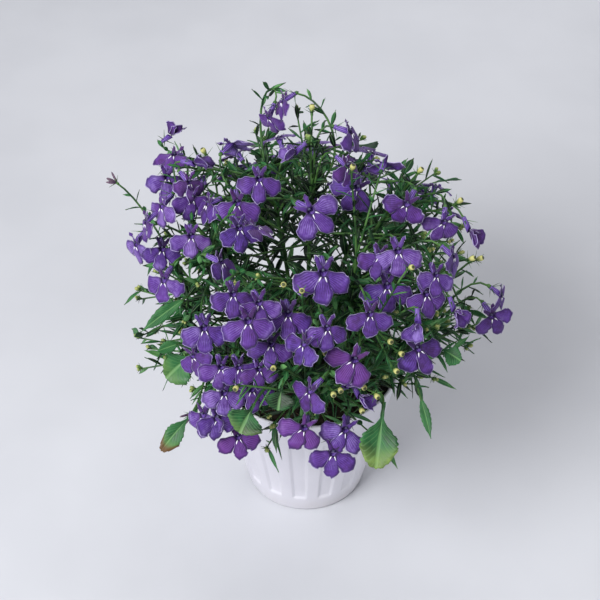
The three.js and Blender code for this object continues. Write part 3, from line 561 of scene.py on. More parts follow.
def addBud(x, y, isWithered=False):
    trials = []
    for lift in budDepths:
        at = seenAt(x, y, crownDepth(x, y) + lift)
        bud = {"at": at, "way": unit(at - heart), "withered": isWithered}
        trials.append((bud, spheres([at], plant["budRadius"] * 1.5)))
    hang(trials, "buds", lambda bud: (bud["at"], bud["way"]))


# Leaves

def leafWidth(share, broad):
    if share > 0.999:
        return 0.3 if broad else 0
    peak = 0.66 if broad else 0.45
    along = share / peak if share < peak else (1 - share) / (1 - peak)
    return 0 if share < 0.001 else 0.22 + 0.78 * math.sin(along * math.pi / 2)


def leafSpheres(leaf):
    at, radius = [], []
    for share in (0.14, 0.3, 0.45, 0.6, 0.75, 0.88, 0.98):
        middle = leaf["root"] + leaf["way"] * share * leaf["length"]
        middle[2] -= leaf["droop"] * share * share
        wide = leaf["half"] * leafWidth(share, leaf["broad"])
        count = max(1, math.floor(wide / 1.5 + 0.5))
        for i in range(count):
            across = 0 if count == 1 else (2 * i / (count - 1) - 1) * (wide - 1)
            at.append(middle + leaf["side"] * across)
            radius.append(min(wide, 1.3) + 0.3)
    return spheres(at, np.array(radius))


def leafAt(curve, share, spin, length, half):
    along = curveTangent(curve, share)
    level = np.array([-along[1], along[0], 0])
    level = unit(level) if np.linalg.norm(level) >= 0.05 else np.array([1.0, 0, 0])
    away = level * math.cos(spin) + np.cross(along, level) * math.sin(spin)
    way = unit(along * plant["leafAlong"] + away * plant["leafAway"])
    return {
        "root": curvePoint(curve, share), "way": way, "side": unit(np.cross(along, away)),
        "length": length, "half": half, "droop": length * plant["leafDroop"], "broad": False,
    }


def leafTrials(curve, share, spin, lengths, half):
    for turn, length in enumerate(lengths):
        leaf = leafAt(curve, share, spin + turn * plant["tryTurn"], length, half)
        yield leaf, leafSpheres(leaf)


def keepOn(stem, kind, piece, cover):
    keep(cover, stem["owner"])
    stem[kind].append(piece)


def settle(trials, stem, kind, least):
    piece, cover, found = firstClear(trials, stem["owner"])
    if found >= least:
        keepOn(stem, kind, piece, cover)
        return piece


def addLeaves(stem, curve, shares, draw, longest):
    for index, share in enumerate(shares):
        start = draw() * fullTurn
        length = longest * (0.7 + 0.3 * draw())
        half = 1.0 + 0.9 * draw()
        lengths = [length] * 5 + [length * plant["shortLeaf"]] * 3
        trials = leafTrials(curve, share, start + index * plant["leafTurn"], lengths, half)
        settle(trials, stem, "leaves", plant["clearance"])


def shootTrials(stem, share, draw):
    start, tip = curvePoint(stem["curve"], share), stem["curve"][3]
    leaning = math.hypot(tip[0], tip[1]) > crown["radius"] / 4
    trials = []
    for _ in range(shoot["tries"]):
        turn, free = shoot["spread"] * (draw() - 0.5), fullTurn * draw()
        angle = math.atan2(tip[1], tip[0]) + turn if leaning else free
        up = np.array([0, 0, start[2] + shoot["rise"] * draw() - shoot["drop"]])
        way = ringPoint(1, angle)
        reach = shoot["leastReach"] + (shoot["mostReach"] - shoot["leastReach"]) * draw()
        end = way * (crown["radius"] * reach) / crownShare((way * crown["radius"] + up)[None])[0] + up
        span = min(np.linalg.norm(end - start), shoot["reach"])
        end = start + unit(end - start) * span
        curve = np.array([start, start + (end - start) / 3, start + (end - start) * 2 / 3, end])
        skip = min(0.5, plant["footSkip"] / span)
        trials.append((curve, curveSpheres(curve, 1, shoot["radius"], skip)))
    return trials


def addShoots(stem, draw):
    first, last = shoot["firstShare"], shoot["lastShare"]
    for i in range(shoot["perStem"]):
        share = first + (last - first) * (i + draw()) / shoot["perStem"]
        curve = settle(shootTrials(stem, share, draw), stem, "shoots", plant["clearance"])
        if curve is not None:
            addLeaves(stem, curve, shoot["leafShares"], draw, shoot["leafLength"])


def addLargeLeaf(number, row, behind):
    rootX, rootY, tipX, tipY, half, droop = row
    trials = []
    for lift in largeLeafDepths:
        depth = min(crownDepth(rootX, rootY), crownDepth(tipX, tipY)) + lift
        root, tip = seenAt(rootX, rootY, depth), seenAt(tipX, tipY, depth - 2)
        tip[2] += droop
        side = unit(np.cross(tip - root, toEye))
        if behind:
            root, tip, side = halfTurn @ root, halfTurn @ tip, halfTurn @ side
        leaf = {
            "root": root, "way": unit(tip - root), "side": side, "half": half, "number": number,
            "length": np.linalg.norm(tip - root), "droop": droop, "broad": half > 3,
        }
        trials.append((leaf, leafSpheres(leaf)))
    hang(trials, "largeLeaves", lambda leaf: (leaf["root"] + leaf["way"] * 0.8, leaf["way"]))


def addStems(ring):
    count, firstAngle = ring[:2]
    for i in range(count):
        curve = stemCurve(math.radians(firstAngle + i * 360 / count), ring)
        stem = {"owner": f"stem_{len(stems) + 1}", "curve": curve}
        for kind in ("branches", "leaves", "largeLeaves", "buds", "closed", "shoots", "fineLeaves"):
            stem[kind] = []
        keep(curveSpheres(curve, plant["stemSteps"], plant["stemRadius"], 0), stem["owner"])
        stems.append(stem)


def countOf(kind):
    return sum(len(stem[kind]) for stem in stems)


bloomGroups = {}
for name, rows in frontBlooms.items():
    settleGroup(name, rows, bloomDepths, plant["groupContact"])
backDraw = draws(plant["seed"] + 7)
for index, (x, y, meeting) in enumerate(backCentres):
    rows = [backRow(x, y, across, down, backDraw) for across, down in backTrio]
    settleGroup(f"back_{index + 1}", rows, bloomDepths[:7], meeting, True)
print("blooms placed,", sum(len(blooms) for blooms in bloomGroups.values()))
for ring in stemRings:
    addStems(ring)
for name, blooms in bloomGroups.items():
    for bloom in blooms:
        addBranch(tubeFoot(bloom, flower["seatGap"]), bloom["frame"] @ tubeAxis, "bloom_" + name)
for row in closedBlooms:
    addSingleBloom(row, closedDepths, flower["closedFold"], False)
for number, row in enumerate(largeLeaves + backLeaves):
    addLargeLeaf(number, row, number >= len(largeLeaves))
for index, (x, y) in enumerate(frontBuds):
    addBud(x, y, index in withered)
leafDraw, shootDraw = draws(plant["seed"]), draws(plant["seed"] + 13)
for stem in stems:
    addLeaves(stem, stem["curve"], plant["stemLeafShares"], leafDraw, plant["stemLeafLength"])
for stem in stems:
    addShoots(stem, shootDraw)
print("stems placed,", countOf("branches"), "branches")
for row in farBlooms:
    addSingleBloom(row, farDepths, 0, True, 0)
for x, y in moreBuds:
    addBud(x, y)
print("far blooms and buds placed")

# Materials. Their helpers add nodes to the tree that newMaterial or newGroup began last.

tree = None
looks = {}    # the materials, by the key that the pieces use


def setSocket(socket, value):    # value is another node's output, a number or a colour
    if isinstance(value, bpy.types.NodeSocket):
        tree.links.new(value, socket)
    else:
        socket.default_value = (*value, 1) if isinstance(value, tuple) else value


def addNode(kind, values, **settings):
    node = tree.nodes.new("ShaderNode" + kind)
    for name, value in settings.items():
        setattr(node, name, value)
    for key, value in values.items():
        setSocket(node.inputs[key], value)
    return node.outputs


def mathNode(operation, *values):
    return addNode("Math", dict(enumerate(values)), operation=operation)[0]


def times(first, second):
    return mathNode("MULTIPLY", first, second)


def timesPlus(first, second, third):
    return mathNode("MULTIPLY_ADD", first, second, third)


def greater(first, second):
    return mathNode("MAXIMUM", first, second)


def mixColour(share, first, second):
    return addNode("Mix", {0: share, 6: first, 7: second}, data_type="RGBA")[2]


def ramp(value, low, high, first=0.0, last=1.0):
    values = {"Value": value, "From Min": low, "From Max": high, "To Min": first, "To Max": last}
    return addNode("MapRange", values, interpolation_type="SMOOTHSTEP")["Result"]


def attribute(name):
    return addNode("Attribute", {}, attribute_name=name)["Fac"]


def useGroup(group, *values):
    return addNode("Group", dict(enumerate(values)), node_tree=group)[0]


def newGroup(name, inputs, output):
    global tree
    tree = bpy.data.node_groups.new(name, "ShaderNodeTree")
    for socket in inputs:
        kind = "NodeSocketVector" if socket == "Place" else "NodeSocketFloat"
        tree.interface.new_socket(name=socket, in_out="INPUT", socket_type=kind)
    tree.interface.new_socket(name=output, in_out="OUTPUT", socket_type="NodeSocketFloat")
    return tree.nodes.new("NodeGroupInput").outputs, tree.nodes.new("NodeGroupOutput").inputs[output]


def mottleGroup():    # soft patches between 0 and 1
    given, put = newGroup("mottle", ["Place", "Scale"], "Patches")
    patches = addNode("TexNoise", {"Detail": 3, "Vector": given["Place"], "Scale": given["Scale"]})
    setSocket(put, ramp(patches["Fac"], 0.3, 0.7))
    return tree


def veinGroup():    # thin lines where the phase passes a whole number, a little wavering
    given, put = newGroup("fineVeins", ["Place", "Phase", "Waver", "Thinness"], "Veins")
    shift = addNode("TexNoise", {"Scale": 420, "Vector": given["Place"]})
    phase = timesPlus(shift["Fac"], given["Waver"], given["Phase"])
    wave = mathNode("ABSOLUTE", mathNode("COSINE", times(phase, math.pi)))
    setSocket(put, mathNode("POWER", wave, given["Thinness"]))
    return tree


mottle, fineVeins = mottleGroup(), veinGroup()


def newMaterial(key, name, settings):    # gives the place on the object, for the patterns
    global tree
    looks[key] = bpy.data.materials.new(name)
    looks[key].use_nodes = True
    tree = looks[key].node_tree
    for socket, value in settings.items():
        setSocket(tree.nodes["Principled BSDF"].inputs[socket], value)
    return addNode("TexCoord", {})["Object"]


def finishMaterial(colour, roughness, height, strength, depth):    # the bumps' depth in mm
    bump = addNode("Bump", {"Height": height, "Strength": strength, "Distance": depth * mm})
    inputs = tree.nodes["Principled BSDF"].inputs
    for name, value in (("Base Color", colour), ("Roughness", roughness), ("Normal", bump["Normal"])):
        setSocket(inputs[name], value)


def bladePlace():    # how far from the middle line, across from edge to edge, and along
    place = addNode("SeparateXYZ", {0: addNode("UVMap", {}, uv_map="blade")["UV"]})
    return mathNode("ABSOLUTE", timesPlus(place["X"], 2, -1)), place["X"], place["Y"]


petalLook = {
    "deep": (0.018, 0.006, 0.066), "mid": (0.088, 0.037, 0.282), "pale": (0.280, 0.195, 0.570),
    "pink": (0.175, 0.042, 0.245), "edge": (0.500, 0.420, 0.730), "throatShade": (0.012, 0.004, 0.036),
    "veins": 9, "patches": 260, "specks": 900, "regions": 55, "pinkRegions": 0.22,
}


def petalMaterial(look):
    place = newMaterial("petal", "violetPetal", {
        "Specular IOR Level": 0.3, "Sheen Weight": 0.2, "Sheen Roughness": 0.4,
        "Sheen Tint": (0.75, 0.62, 0.90),
    })
    offMiddle, across, along = bladePlace()
    patches = useGroup(mottle, place, look["patches"])
    # The shade values hold random tone per bloom and lobe, and the painted shade of low blooms, which
    # turns them towards deep
    lightness = timesPlus(patches, 0.4, attribute("shade"))
    lightness = timesPlus(useGroup(mottle, place, look["specks"]), 0.25, lightness)
    colour = mixColour(ramp(lightness, 0.1, 0.75), look["deep"], look["mid"])
    colour = mixColour(ramp(lightness, 0.65, 1.35), colour, look["pale"])
    pink = timesPlus(useGroup(mottle, place, look["regions"]), look["pinkRegions"], attribute("pink"))
    colour = mixColour(pink, colour, look["pink"])
    veins = useGroup(fineVeins, place, times(across, look["veins"]), 0.7, 5)
    veins = times(veins, ramp(along, 0.4, 0.95, 0.6, 0.12))
    colour = mixColour(veins, colour, look["deep"])
    rim = greater(ramp(offMiddle, 0.62, 0.88), ramp(along, 0.80, 0.94))
    colour = mixColour(times(rim, 0.6), colour, look["deep"])
    edge = greater(ramp(offMiddle, 0.90, 0.98), ramp(along, 0.95, 0.99))
    colour = mixColour(times(edge, ramp(patches, 0, 1, 0.25, 0.8)), colour, look["edge"])
    # Painted shade at the throat: the lobes go near black where they meet the tube
    colour = mixColour(ramp(along, 0.0, 0.16, 0.85, 0.0), colour, look["throatShade"])
    finishMaterial(colour, ramp(veins, 0, 0.5, 0.58, 0.72), timesPlus(patches, 0.5, veins), 0.6, 0.3)


tubeLook = {"dark": (0.070, 0.020, 0.230), "stripe": (0.330, 0.230, 0.620), "stripes": 10}


def tubeMaterial(look):
    place = newMaterial("tube", "stripedTube", {"Specular IOR Level": 0.35})
    offMiddle, across, along = bladePlace()
    stripes = useGroup(fineVeins, place, times(across, look["stripes"]), 0.3, 3)
    colour = mixColour(times(stripes, ramp(along, 0.1, 0.5, 0.2, 0.8)), look["dark"], look["stripe"])
    finishMaterial(colour, ramp(stripes, 0, 1, 0.5, 0.62), stripes, 0.4, 0.1)


leafLook = {
    "dark": (0.002, 0.014, 0.005), "mid": (0.022, 0.125, 0.036), "light": (0.130, 0.330, 0.105),
    "yellow": (0.240, 0.320, 0.075), "rib": (0.160, 0.340, 0.120), "brown": (0.110, 0.060, 0.020),
    "sideVeins": 9, "patches": 210,
}


def leafMaterial(look):
    place = newMaterial("leaf", "greenBlade", {"Specular IOR Level": 0.3})
    offMiddle, across, along = bladePlace()
    patches = useGroup(mottle, place, look["patches"])
    # The shade values hold random tone and the painted shade of inner leaves; the lowest go to the
    # near-black dark green
    lightness = timesPlus(patches, 0.35, attribute("shade"))
    colour = mixColour(ramp(lightness, 0.1, 0.6), look["dark"], look["mid"])
    colour = mixColour(ramp(lightness, 0.6, 1.2), colour, look["light"])
    slant = times(timesPlus(offMiddle, -0.4, along), look["sideVeins"])
    veins = times(useGroup(fineVeins, place, slant, 0.35, 14), attribute("broad"))
    lines = greater(times(veins, 0.4), ramp(offMiddle, 0.04, 0.16, 1, 0))
    colour = mixColour(times(lines, 0.6), colour, look["rib"])
    aged = times(times(attribute("aged"), ramp(along, 0.62, 1.0)), ramp(patches, 0, 1, 0.55, 1.0))
    colour = mixColour(aged, colour, look["yellow"])
    colour = mixColour(times(attribute("dead"), ramp(along, 0.8, 0.93)), colour, look["brown"])
    finishMaterial(colour, ramp(patches, 0, 1, 0.42, 0.58), times(lines, -1), 0.5, 0.3)


budLook = {"foot": (0.100, 0.210, 0.045), "tip": (0.520, 0.510, 0.180), "eye": (0.050, 0.060, 0.020)}


def budMaterial(look):
    place = newMaterial("bud", "yellowGreenBud", {"Specular IOR Level": 0.4})
    along = bladePlace()[2]
    patches = useGroup(mottle, place, 700)
    colour = mixColour(ramp(timesPlus(patches, 0.3, along), 0.3, 0.9), look["foot"], look["tip"])
    colour = mixColour(ramp(along, 0.90, 0.97), colour, look["eye"])
    finishMaterial(colour, ramp(patches, 0, 1, 0.42, 0.6), patches, 0.4, 0.1)


potLook = {"cool": (0.680, 0.670, 0.740), "pale": (0.750, 0.740, 0.800), "bottomTint": (0.42, 0.38, 0.34)}


def potMaterial(look):
    place = newMaterial("pot", "whitePlastic", {"Specular IOR Level": 0.5})
    patches = useGroup(mottle, place, 28)
    height = addNode("SeparateXYZ", {0: place})["Z"]
    # Patchy, darker and browner towards the bottom, in the lowest 12 mm
    towardsBottom = times(ramp(height, 0.0, 0.012, 0.3, 0), patches)
    colour = mixColour(towardsBottom, mixColour(patches, look["cool"], look["pale"]), look["bottomTint"])
    finishMaterial(colour, ramp(patches, 0, 1, 0.34, 0.46), useGroup(mottle, place, 1600), 0.12, 0.08)


# Name, first and second colour, patches to the metre, roughness, and depth of the bumps in mm
patchyLooks = {
    "stalk": ("greenStalk", (0.010, 0.050, 0.012), (0.085, 0.200, 0.048), 150, 0.48, 0.1),
    "streak": ("whiteStreak", (0.78, 0.76, 0.88), (0.92, 0.91, 0.96), 900, 0.6, 0.05),
    "anther": ("slateAnther", (0.030, 0.030, 0.070), (0.110, 0.100, 0.190), 1500, 0.6, 0.1),
    "spent": ("spentPetal", (0.050, 0.020, 0.070), (0.170, 0.110, 0.150), 700, 0.75, 0.2),
    "soil": ("darkPeat", (0.006, 0.004, 0.003), (0.040, 0.026, 0.017), 520, 0.93, 0.6),
    "fibre": ("peatFibre", (0.030, 0.018, 0.010), (0.110, 0.070, 0.040), 600, 0.9, 0.3),
    "floor": ("paleFloor", (0.56, 0.57, 0.61), (0.60, 0.61, 0.65), 12, 0.7, 0.2),
}


def patchyMaterial(key, name, first, second, scale, roughness, depth):
    patches = useGroup(mottle, newMaterial(key, name, {"Specular IOR Level": 0.35}), scale)
    mixed = ramp(patches, 0, 1, roughness - 0.06, roughness + 0.06)
    finishMaterial(mixColour(patches, first, second), mixed, patches, 0.5, depth)


for key, values in patchyLooks.items():
    patchyMaterial(key, *values)
petalMaterial(petalLook)
tubeMaterial(tubeLook)
leafMaterial(leafLook)
budMaterial(budLook)
potMaterial(potLook)
print("materials made,", len(looks))


# Every piece is built in mm in one bmesh, then made an object

def startPiece(*values):    # the values are numbers at each point, for the materials
    bm = bmesh.new()
    for name in values:
        bm.verts.layers.float.new(name)
    bm.loops.layers.uv.new("blade")
    return bm


def finishPiece(bm, name, materials, node, thickness=0):
    bmesh.ops.scale(bm, vec=(mm, mm, mm), verts=bm.verts)
    for face in bm.faces:
        face.smooth = True
    piece = newObject(name, meshFrom(bm, name))
    for material in materials:
        piece.data.materials.append(looks[material])
    if thickness:
        wall = piece.modifiers.new("thickness", "SOLIDIFY")
        wall.thickness = thickness * mm
        wall.offset = 0
    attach(piece, "root")
    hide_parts(node)


def setMaterial(verts, material):
    for face in {face for vert in verts for face in vert.link_faces}:
        face.material_index = material


# A grid whose points go where place(across from -1 to 1, along from 0 to 1) says
def addSheet(bm, columns, rows, place, material, values):
    made = bmesh.ops.create_grid(bm, x_segments=columns, y_segments=rows, size=0.5, calc_uvs=True)
    verts = made["verts"]
    for vert in verts:
        vert.co = place(2 * vert.co.x, vert.co.y + 0.5)
    for name, value in values.items():
        layer = bm.verts.layers.float[name]
        for vert in verts:
            vert[layer] = value
    setMaterial(verts, material)
    return verts


def closeSeam(bm, verts):
    bmesh.ops.remove_doubles(bm, verts=verts, dist=0.001)


def addTubes(bm, tubes, resolution):
    data = bpy.data.curves.new("tubes", "CURVE")
    data.dimensions = "3D"
    data.bevel_depth = 1
    data.bevel_resolution = resolution
    data.use_fill_caps = True
    for points, radii in tubes:
        spline = data.splines.new("POLY")
        spline.points.add(len(points) - 1)
        for target, point, radius in zip(spline.points, points, radii):
            target.co = (*point, 1)
            target.radius = radius
    holder = bpy.data.objects.new("tubes", data)
    mesh = bpy.data.meshes.new_from_object(holder)
    bm.from_mesh(mesh)
    bpy.data.meshes.remove(mesh)
    bpy.data.objects.remove(holder)
    bpy.data.curves.remove(data)


# Blooms

bloomLook = {
    "columns": 9, "rows": 9, "thickness": 0.22, "sideAngle": 60, "sideHalf": 3.1, "middleHalf": 2.5,
    "neckHalf": 1.2, "broadest": 0.68, "start": 0.9, "tipRound": 0.24, "tooth": 0.65, "waver": 0.6,
    "bend": 1.1, "cup": 0.2, "frill": 0.085, "upperAngle": 28, "upperLength": 5.2, "upperHalf": 0.62,
    "throatRadius": 1.35, "footRadius": 0.85, "tubeColumns": 10, "tubeRows": 4, "streakAngle": 25,
    "streakStart": 1.2, "streakLength": 1.45, "streakHalf": 0.22, "streakRise": 0.4,
    "antherRadius": 0.4, "antherBack": 0.75, "antherLow": 0.6, "antherLength": 1.7, "seed": 5113,
    # lowTop and lowSpan, in m, set where the painted shade of low blooms begins and how far down it
    # deepens
    "lowTop": 0.075, "lowSpan": 0.03, "lowPaintedShade": 0.35, "upperDarker": 0.35, "shadeFirst": 0.12,
    "shadeSpan": 0.60, "lobeShades": 0.26, "pinkest": 0.45, "angleWander": 8, "middleRaised": 0.3,
}
bloomMaterials = ["petal", "tube", "streak", "anther"]


def onBloom(bloom, x, y, z):    # from the bloom's own frame to the plant's
    return bloom["frame"] @ (np.array([x, y, z]) * bloom["size"]) + bloom["at"]


def lobePlace(bloom, angle, length, half, draw, raised=0.0):
    look, upper = bloomLook, isUpper(angle)
    bend = look["bend"] * (2 * draw() - 1)
    phase, turns = draw() * fullTurn, 1.5 + draw()
    toothAt = 0.5 * (2 * draw() - 1)
    neck = look["neckHalf"] * (0.7 if upper else 1)

    def place(u, s):
        grown = math.sin(min(1, s / look["broadest"]) * math.pi / 2) ** 1.25
        wide = neck + (half - neck) * grown
        wide *= 1 + look["frill"] * math.sin(11 * s + phase * (2 if u > 0 else 1))
        rounding = look["tipRound"] * abs(u) ** 3 * s * s
        far = look["start"] + (length - look["start"]) * s * (1 - rounding)
        if not upper:    # a tooth on one side of the tip, a notch on the other
            notch = math.exp(-((u + toothAt) / 0.16) ** 2)
            far += look["tooth"] * s**8 * (math.exp(-((u - toothAt) / 0.2) ** 2) - 0.5 * notch)
        height = lobeRise(far / flower["lobeLength"], upper) + bend * s * s
        height = height - look["cup"] * half * u * u * (1 + s) / 2 + raised
        height += look["waver"] * u * math.sin(turns * math.pi * s + phase) * s
        out, up = turned(far, height, math.radians(bloom["fold"]))
        return onBloom(bloom, *turned(out, u * wide, math.radians(angle)), up)

    return place


def addBloom(bm, bloom, draw):
    look = bloomLook
    # Painted shade: blooms low on the mound, under the crown, are made darker, the lower the darker
    low = min(1, max(0, (look["lowTop"] - bloom["at"][2] * mm) / look["lowSpan"]))
    shade = look["shadeFirst"] + look["shadeSpan"] * draw() - look["lowPaintedShade"] * low
    values = {"pink": look["pinkest"] if draw() > 0.95 else 0.2 * draw()}    # one bloom in twenty
    for side in (-1, 1, 0):
        half = look["sideHalf" if side else "middleHalf"] * (0.9 + 0.2 * draw())
        angle = side * (look["sideAngle"] + look["angleWander"] * (draw() - 0.5))
        angle += 0 if side else look["angleWander"] * (draw() - 0.5)
        length = flower["lobeLength"] * (0.94 + 0.1 * draw())
        values["shade"] = shade + look["lobeShades"] * (draw() - 0.5)
        place = lobePlace(bloom, angle, length, half, draw, 0 if side else look["middleRaised"])
        addSheet(bm, look["columns"], look["rows"], place, 0, values)
    values["shade"] = shade - look["upperDarker"]
    for side in (-1, 1):
        angle = 180 + side * look["upperAngle"]
        place = lobePlace(bloom, angle, look["upperLength"], look["upperHalf"], draw)
        addSheet(bm, 2, 6, place, 0, values)

    def tubePlace(u, s):
        radius = look["footRadius"] + (look["throatRadius"] - look["footRadius"]) * (1 - s) ** 1.5
        across = np.array([math.cos(lean * s), 0, -math.sin(lean * s)]) * radius * math.cos(math.pi * u)
        side = np.array([0, radius * math.sin(math.pi * u), 0])
        return onBloom(bloom, *(tubeAxis * (-flower["tubeLength"] * s) + across + side))

    closeSeam(bm, addSheet(bm, look["tubeColumns"], look["tubeRows"], tubePlace, 1, values))
    if bloom["fold"]:
        return
    for side in (-1, 1):

        def streakPlace(u, s):
            off = u * look["streakHalf"] * math.sin(math.pi * (0.12 + 0.8 * s))
            far = look["streakStart"] + look["streakLength"] * s
            up = 0.05 + look["streakRise"] * (1 - u * u) + 0.25 * (1 - s)
            return onBloom(bloom, *turned(far, off, math.radians(side * look["streakAngle"])), up)

        addSheet(bm, 2, 4, streakPlace, 2, values)

    def antherPlace(u, s):
        radius = look["antherRadius"] * math.sin(math.pi * (0.06 + 0.88 * s))
        x, y, _ = ringPoint(radius, math.pi * u)
        return onBloom(bloom, x - look["antherBack"], y, look["antherLength"] * s - look["antherLow"])

    closeSeam(bm, addSheet(bm, 5, 4, antherPlace, 3, values))


def addPetals(name, blooms, node, draw):
    bm = startPiece("shade", "pink")
    for bloom in blooms:
        addBloom(bm, bloom, draw)
    finishPiece(bm, "petals_" + name, bloomMaterials, node, bloomLook["thickness"])


bloomDraw = draws(bloomLook["seed"])
for name, blooms in bloomGroups.items():
    addPetals(name, blooms, "bloom_" + name, bloomDraw)
for index, stem in enumerate(stems):
    if stem["closed"]:
        addPetals(f"single_{index + 1}", stem["closed"], stem["owner"], bloomDraw)
print("petals made")

# Twigs and fine leaves that fill the mound

foliage = {
    "seed": 977, "tries": 7, "tipShorter": 0.45, "lowLeaves": 9, "airyAbove": 132, "airyFewer": 1.7,
    "twigsPerStem": 9, "twigShares": (0.3, 0.67), "twigLowest": 84, "hangingBelow": 100,
    "hangingFewer": 3,
}
# First share of the curve, how much of it has leaves, the part that is counted, mm to the next
# leaf, shortest and longest, narrowest and widest half
leafyParts = {
    "low": (0.08, 0.3, 0, 0, 10, 17, 1.6, 3.2),
    "shoot": (0.2, 0.78, 1, 2.2, 7, 14, 0.45, 1.1),
    "stem": (0.2, 0.78, 0.8, 2.2, 10, 18, 0.8, 2.3),
    "branch": (0.1, 0.75, 0.75, 2.8, 5, 10, 0.45, 1.1),
}


def addFineLeaves(stem, part, curve, draw, fewer=1):
    first, span, counted, every, shortest, longest, narrow, wide = leafyParts[part]
    low = part == "low"    # a set number near the foot
    count = foliage["lowLeaves"] if low else int(curveLengths(curve)[-1] * counted / (every * fewer))
    start = draw() * fullTurn
    for index in range(count):
        share = first + span * (index + (0 if low else 0.5)) / count
        length = (shortest + (longest - shortest) * draw()) * (1 - foliage["tipShorter"] * share**3)
        half = narrow + (wide - narrow) * draw()
        spin = start + index * plant["leafTurn"]
        settle(leafTrials(curve, share, spin, [length] * foliage["tries"], half), stem, "fineLeaves", 0)


foliageDraw = draws(foliage["seed"])
for stem in stems:
    first, span = foliage["twigShares"]
    for i in range(foliage["twigsPerStem"]):
        share = first + span * (i + foliageDraw()) / foliage["twigsPerStem"]
        curve, cover, found = firstClear(shootTrials(stem, share, foliageDraw), stem["owner"])
        if found >= 0 and curve[3][2] > foliage["twigLowest"]:
            keepOn(stem, "shoots", curve, cover)
print("shoots and twigs placed,", countOf("shoots"))
for stem in stems:
    addFineLeaves(stem, "low", stem["curve"], foliageDraw)
    for curve in stem["shoots"]:
        x, y, z = curve[3]
        hanging = z < foliage["hangingBelow"] and math.hypot(x, y) > pot["rimRadius"]
        fewer = foliage["hangingFewer"] if hanging else 1
        fewer *= foliage["airyFewer"] if z > foliage["airyAbove"] else 1
        addFineLeaves(stem, "shoot", curve, foliageDraw, fewer)
    addFineLeaves(stem, "stem", stem["curve"], foliageDraw)
    for branch in stem["branches"]:
        addFineLeaves(stem, "branch", branch["curve"], foliageDraw)
print("fine leaves placed,", countOf("fineLeaves"))

# Stalks, calyces and buds

stalkLook = {
    "stem": (22, 0.98, 0.6), "branch": (10, 0.5, 0.36), "shoot": (6, 0.5, 0.28),    # steps, foot, tip
    "calyxLobes": 5, "calyxLength": 4.6, "calyxHalf": 0.3, "calyxTip": 0.06, "calyxFlat": 0.55,
    "calyxSpread": 58, "spreadWander": 24, "cup": 0.85, "cupLonger": 1.5, "seed": 311,
    "budLength": 3.6, "shootBuds": 2, "shootBudRipe": 0.5, "shootBudShift": 0.55, "spentPetals": 3,
}


def tubeAlong(curve, kind):
    steps, foot, tip = stalkLook[kind]
    shares = np.linspace(0, 1, steps + 1)
    return curvePoints(curve, shares), foot + (tip - foot) * shares


def wayMatrix(at, way, scale=(1, 1, 1)):
    turn = Vector(way).to_track_quat("Z", "Y").to_matrix().to_4x4()
    return Matrix.Translation(Vector(at)) @ turn @ Matrix.Diagonal((*scale, 1))


def addCalyx(bm, at, way, size, draw):
    look = stalkLook
    cup = look["cup"] * size
    shape = wayMatrix(at, way, (cup, cup, cup * look["cupLonger"]))
    bmesh.ops.create_icosphere(bm, subdivisions=1, radius=1, matrix=shape)
    base = wayMatrix(at + unit(way) * cup * 0.6, way)
    first, lobes = draw() * 360, look["calyxLobes"]
    for i in range(lobes):
        length = look["calyxLength"] * size * (0.8 + 0.4 * draw())
        spread = math.radians(look["calyxSpread"] + look["spreadWander"] * (draw() - 0.5))
        around = math.radians(first + 360 / lobes * i)
        turn = Matrix.Rotation(around, 4, "Z") @ Matrix.Rotation(spread, 4, "Y")
        shape = Matrix.Diagonal((look["calyxFlat"], 1, 1, 1)) @ Matrix.Translation((0, 0, length / 2))
        bmesh.ops.create_cone(bm, cap_ends=True, segments=4, radius1=look["calyxHalf"],
                              radius2=look["calyxTip"], depth=length, matrix=base @ turn @ shape)


def addBudShape(bm, at, way, length, radius, ripe):    # ripe is how far the colour goes to the tip's
    turn = wayMatrix(at, way)
    verts = bmesh.ops.create_uvsphere(bm, u_segments=8, v_segments=7, radius=1, calc_uvs=True)["verts"]
    uv = bm.loops.layers.uv["blade"]
    for vert in verts:
        share = (vert.co.z + 1) / 2
        wide = radius * (0.45 + 0.75 * share**1.3)
        vert.co = turn @ Vector((vert.co.x * wide, vert.co.y * wide, share * length))
        for loop in vert.link_loops:
            loop[uv].uv = (0.5, share * ripe)
    setMaterial(verts, 1)


def addSpentFlower(bm, at, way, draw):
    for i in range(stalkLook["spentPetals"]):
        turn = Matrix.Rotation(i * 2.1, 4, "Z") @ Matrix.Rotation(0.35 + 0.3 * draw(), 4, "X")
        turn = wayMatrix(at, way) @ turn
        verts = bmesh.ops.create_icosphere(bm, subdivisions=2, radius=1)["verts"]
        for vert in verts:
            crease = 1 + 0.35 * noise.noise(vert.co * 2.3 + Vector((i * 7, 0, 0)))
            share = (vert.co.z + 1) / 2
            vert.co = turn @ Vector((vert.co.x * 0.7 * crease, vert.co.y * 0.45 * crease, share * 5.0))
        setMaterial(verts, 2)


